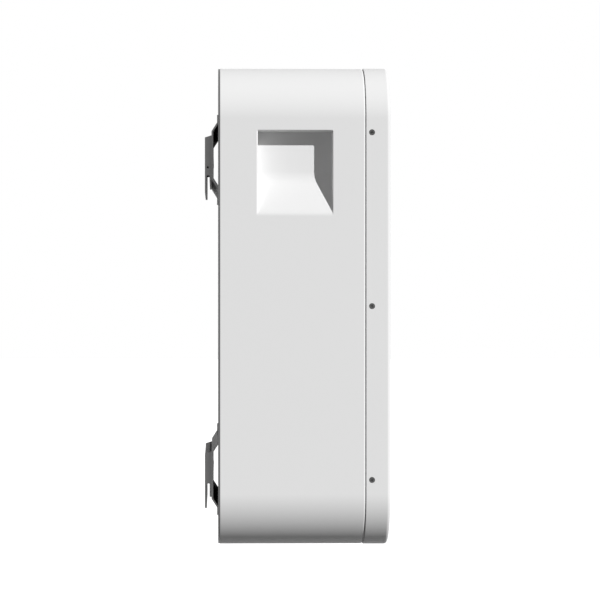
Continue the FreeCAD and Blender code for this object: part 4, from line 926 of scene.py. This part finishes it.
def port_contact(x, back, bottom, depth):
    """Spring wire that leans into a port's opening from its back wall."""
    profile = [(back + 0.1, 1.6), (back - 0.5, 1.9), (back - 3.0, depth - 1.6), (back - 3.0, depth + 0.2)]
    profile += [(back - 2.6, depth + 0.2), (back - 2.6, depth - 1.5), (back - 0.2, 2.2), (back + 0.1, 2.0)]
    return stack([[(x + side * 0.22, y, bottom + z) for y, z in profile] for side in (-1, 1)])


def build_ports():
    """Block of data ports: keyed openings with flared mouths and eight contacts in each."""
    low, high = box_mm("comm_ports")
    wall, pitch, width, height, depth = 2.5, 17.0, 12.0, 8.5, 13.0
    count = round((high.x - low.x - wall) / pitch)
    mid_y = (low.y + high.y) / 2
    front = mid_y - height / 2
    back = mid_y + height / 2
    sides = ((low.z, 0.5), (low.z + 0.5, 0.0), (high.z - 0.3, 0.0), (high.z, 0.3))
    block = prism((low.x, low.y), (high.x, high.y), sides, 0.8)
    flare = ((low.z - 0.3, -0.5), (low.z + 0.2, -0.3), (low.z + 0.8, 0.0), (low.z + depth, 0.0))
    key_sides = ((low.z - 1.0, 0.0), (low.z + depth - 0.2, 0.0))
    mouths = []
    keys = []
    strips = []
    for index in range(count):
        x = (low.x + high.x) / 2 + (index - (count - 1) / 2) * pitch
        mouths.append((prism((x - width / 2, front), (x + width / 2, back), flare, 0.4), IN_PLACE))
        keys.append((prism((x - 2.0, front - 1.5), (x + 2.0, mid_y), key_sides, 0.2), IN_PLACE))
        for strip in range(8):
            strips.append((port_contact(x + (strip - 3.5) * 1.02, back, low.z, depth), IN_PLACE))
    block = boolean(boolean(block, joined(mouths)), joined(keys))
    piece("ports_dressed", block, "black_plastic", ("comm_ports",))
    piece("port_contacts_dressed", joined(strips), "contact_brass")


def build_switch():
    place = on_ceiling(*box_mm("switch_housing"))
    stations = [(6.3, 6.5), (6.3, -2.1), (6.6, -2.45), (8.0, -2.5), (8.3, -2.2), (8.9, -2.2), (9.2, -2.5)]
    stations += [(10.2, -2.5), (10.8, -2.1), (11.0, -1.4), (11.0, 0.0), (8.0, 0.0)]
    for ring in range(14):
        z = 1.6 + 1.4 * ring
        stations += [(8.0, z), (7.6, z + 0.35), (7.6, z + 0.6), (8.0, z + 0.95)]
    stations += [(8.0, 21.4), (7.4, 22.0)]
    housing = joined([(turned(stations, 56), place)])
    piece("switch_dressed", housing, "black_plastic", ("switch_housing",))
    stations = [(1.4, -4.95), (3.0, -5.05), (4.3, -5.35), (4.9, -5.5), (5.4, -5.42), (5.8, -5.1), (6.0, -4.6)]
    stations += [(6.0, 3.2), (5.7, 3.5)]
    button = joined([(turned(stations, 48), place)])
    piece("button_dressed", button, "grey_plastic", ("power_button",), body="button")


def lever_mesh():
    """Toggle pointing down from its axis at the origin: bored hub and a ribbed paddle."""
    hub_stations = [(1.55, -6.0), (6.6, -6.0), (7.0, -5.6), (7.0, 5.6), (6.6, 6.0), (1.55, 6.0)]
    hub = turned(hub_stations, 48, closed=True)
    side = [(1.5, -5.0)]
    for ridge in range(5):
        z = -9.0 - 1.7 * ridge
        side += [(1.5, z), (1.15, z - 0.3), (1.15, z - 0.7), (1.5, z - 1.0)]
    side += [(1.5, -17.8), (1.15, -18.65), (0.4, -19.0)]
    profile = side + [(-y, z) for y, z in reversed(side)]
    slices = []
    for x, inset in ((-5.0, 0.35), (-4.65, 0.0), (4.65, 0.0), (5.0, 0.35)):
        narrow = 1 - inset / 3
        slices.append([(x, y * narrow, min(z, -5.0) + (inset if z < -17.0 else 0.0)) for y, z in profile])
    turn = Matrix.Rotation(math.pi / 2, 4, "Y")
    return joined([(hub, turn), (stack(slices), IN_PLACE)])


def breaker_mesh(half_x, half_y, top):
    """Case with a nose through the ceiling, slotted for the lever and grooved round the slot."""
    nose_ends = ((2.5, 0.0), (-3.9, 0.0), (-4.5, 0.2), (-4.85, 0.6), (-5.0, 1.1))
    nose = prism((-16.0, -22.0), (16.0, 22.0), nose_ends, 1.5, 5)
    case_ends = ((1.5, 0.0), (top - 1.0, 0.0), (top, 1.0))
    case = prism((-half_x, -half_y), (half_x, half_y), case_ends, 1.2, 4)
    tilt = math.radians(lever_tilt)
    slot_half = max(8.0 * math.tan(tilt) + 1.5 / math.cos(tilt) + 0.3, 5.6)
    slot_ends = ((-6.0, -0.6), (-5.0, -0.5), (-4.4, 0.0), (lever_axis_rise, 0.0))
    slot = prism((-6.3, -slot_half), (6.3, slot_half), slot_ends, 0.4)
    drum = turned([(7.3, -6.3), (7.3, 6.3)], 48)
    drum_place = Matrix.Translation((0, 0, lever_axis_rise)) @ Matrix.Rotation(math.pi / 2, 4, "Y")
    groove = prism((-12.5, -18.5), (12.5, 18.5), ((-6.0, 0.0), (-4.6, 0.0)), 1.5, 5)
    island = prism((-11.6, -17.6), (11.6, 17.6), ((-7.0, 0.0), (-4.0, 0.0)), 1.2, 5)
    tools = [(slot, IN_PLACE), (drum, drum_place), (boolean(groove, island), IN_PLACE)]
    return boolean(boolean(nose, case, "UNION"), joined(tools))


def build_breaker():
    low, high = box_mm("breaker_body")
    place = on_ceiling(low, high)
    body = breaker_mesh((high.x - low.x) / 2, (high.y - low.y) / 2, high.z - bay_ceiling)
    piece("breaker_dressed", joined([(body, place)]), "grey_plastic", ("breaker_body",))
    axis = place @ Matrix.Translation((0, 0, lever_axis_rise))
    lean = Matrix.Rotation(math.radians(-lever_tilt), 4, "X")
    lever = joined([(lever_mesh(), axis @ lean)])
    piece("lever_dressed", lever, NODE_SLOTS["breaker_lever"], ("breaker_lever",), body="lever")


def build_stud():
    low, high = box_mm("earth_stud")
    stations = [(1.9, -18.0), (2.5, -17.8)]
    for ring in range(13):
        z = -17.2 + 1.0 * ring
        stations += [(3.0, z), (3.0, z + 0.15), (2.5, z + 0.5), (2.5, z + 0.62)]
    stations += [(3.0, -3.9), (3.0, -3.0), (5.6, -3.0), (6.0, -2.6), (6.0, 0.0), (3.0, 0.0)]
    stations.append((3.0, high.z - bay_ceiling))
    stud = joined([(turned(stations, 32), on_ceiling(low, high))])
    piece("earth_stud_dressed", stud, NODE_SLOTS["earth_stud"], ("earth_stud",))


def build_vent():
    low, high = box_mm("vent_plug")
    stations = [(1.6, -2.9), (2.2, -3.3), (3.0, -3.9), (3.4, -4.0), (7.4, -4.0), (8.2, -3.8), (8.8, -3.1)]
    stations += [(9.0, -2.3), (9.0, 0.0), (6.0, 0.0), (6.0, high.z - bay_ceiling)]
    slit = prism((7.9, -0.6), (10.0, 0.6), ((-5.0, 0.0), (-0.9, 0.0)), 0.2)
    vent = boolean(turned(stations, 56), round_about(slit, 12))
    vent = joined([(vent, on_ceiling(low, high))])
    piece("vent_dressed", vent, NODE_SLOTS["vent_plug"], ("vent_plug",))


# ---- Assembly ----
dress_nodes()
piece("shell_dressed", shell_mesh(), "cabinet_white", ("main_shell",))
piece("cover_dressed", cover_mesh(), "cabinet_white", ("front_cover",))
piece("panel_dressed", panel_mesh(), "panel_grey", ("back_panel",))
for side, node in ((-1, "handle_cup_left"), (1, "handle_cup_right")):
    piece(node + "_dressed", handle_cup(side), "cup_white", (node,))
build_fasteners()
build_hangers()
build_sockets()
build_ports()
build_switch()
build_breaker()
build_stud()
build_vent()


# ---- Floor, light and camera ----
def seen_directly(nodes, links):
    """Value that is 1 for rays that show the surroundings: camera, glossy and transmission."""
    path = nodes.new("ShaderNodeLightPath")
    total = path.outputs["Is Camera Ray"]
    for name in ("Is Glossy Ray", "Is Transmission Ray"):
        larger = nodes.new("ShaderNodeMath")
        larger.operation = "MAXIMUM"
        links.new(total, larger.inputs[0])
        links.new(path.outputs[name], larger.inputs[1])
        total = larger.outputs[0]
    return total


def build_world(background=1.0, ambient=0.195):
    """White surroundings where they are seen; their light on the unit has the ambient strength."""
    world = bpy.data.worlds.new("studio")
    bpy.context.scene.world = world
    world.use_nodes = True
    nodes = world.node_tree.nodes
    links = world.node_tree.links
    spread = nodes.new("ShaderNodeMapRange")
    spread.inputs["To Min"].default_value = ambient
    spread.inputs["To Max"].default_value = background
    links.new(seen_directly(nodes, links), spread.inputs["Value"])
    links.new(spread.outputs["Result"], nodes["Background"].inputs["Strength"])
    nodes["Background"].inputs["Color"].default_value = (1.0, 1.0, 1.0, 1.0)


def build_floor(drop=0.55, size=60.0, shade=0.17, shown=1.75):
    """Floor well below the hung unit: white where it is seen, darker in the light it throws back."""
    mesh = bpy.data.meshes.new("floor")
    half = size / 2
    corners = [(x * half, y * half, -drop) for x, y in ((-1, -1), (1, -1), (1, 1), (-1, 1))]
    mesh.from_pydata(corners, [], [(0, 1, 2, 3)])
    floor = bpy.data.objects.new("floor", mesh)
    bpy.context.scene.collection.objects.link(floor)
    material = bpy.data.materials.new("floor_paint")
    material.use_nodes = True
    nodes = material.node_tree.nodes
    links = material.node_tree.links
    nodes.remove(nodes["Principled BSDF"])
    paint = nodes.new("ShaderNodeBsdfDiffuse")
    spread = nodes.new("ShaderNodeMapRange")
    spread.inputs["To Min"].default_value = shade
    spread.inputs["To Max"].default_value = shown
    links.new(seen_directly(nodes, links), spread.inputs["Value"])
    links.new(spread.outputs["Result"], paint.inputs["Color"])
    links.new(paint.outputs["BSDF"], nodes["Material Output"].inputs["Surface"])
    mesh.materials.append(material)


def sun(name, towards, strength, angle):
    """Sun lamp; towards points from the unit to the lamp."""
    data = bpy.data.lights.new(name, "SUN")
    data.energy = strength
    data.angle = math.radians(angle)
    lamp = bpy.data.objects.new(name, data)
    lamp.rotation_euler = Vector(towards).to_track_quat("Z", "Y").to_euler()
    bpy.context.scene.collection.objects.link(lamp)


def build_camera():
    """Camera on -X; a small turn and a small shift share the framing's offset."""
    data = bpy.data.cameras.new("camera")
    data.lens = 120.0
    data.sensor_width = 36.0
    data.shift_x = 0.0692
    data.shift_y = 0.0103
    camera = bpy.data.objects.new("camera", data)
    camera.location = (-2.89, 0.1075, 0.325)
    camera.rotation_euler = Vector((1.0, -0.02075, 0.0)).to_track_quat("-Z", "Y").to_euler()
    bpy.context.scene.collection.objects.link(camera)
    bpy.context.scene.camera = camera


build_world()
build_floor()
sun("key", (-1.0, -0.94, 0.715), 3.6, 0.8)
sun("fill", (1.0, 0.7, 0.0), 1.2, 8.0)
build_camera()
bpy.context.scene.view_settings.view_transform = "Standard"
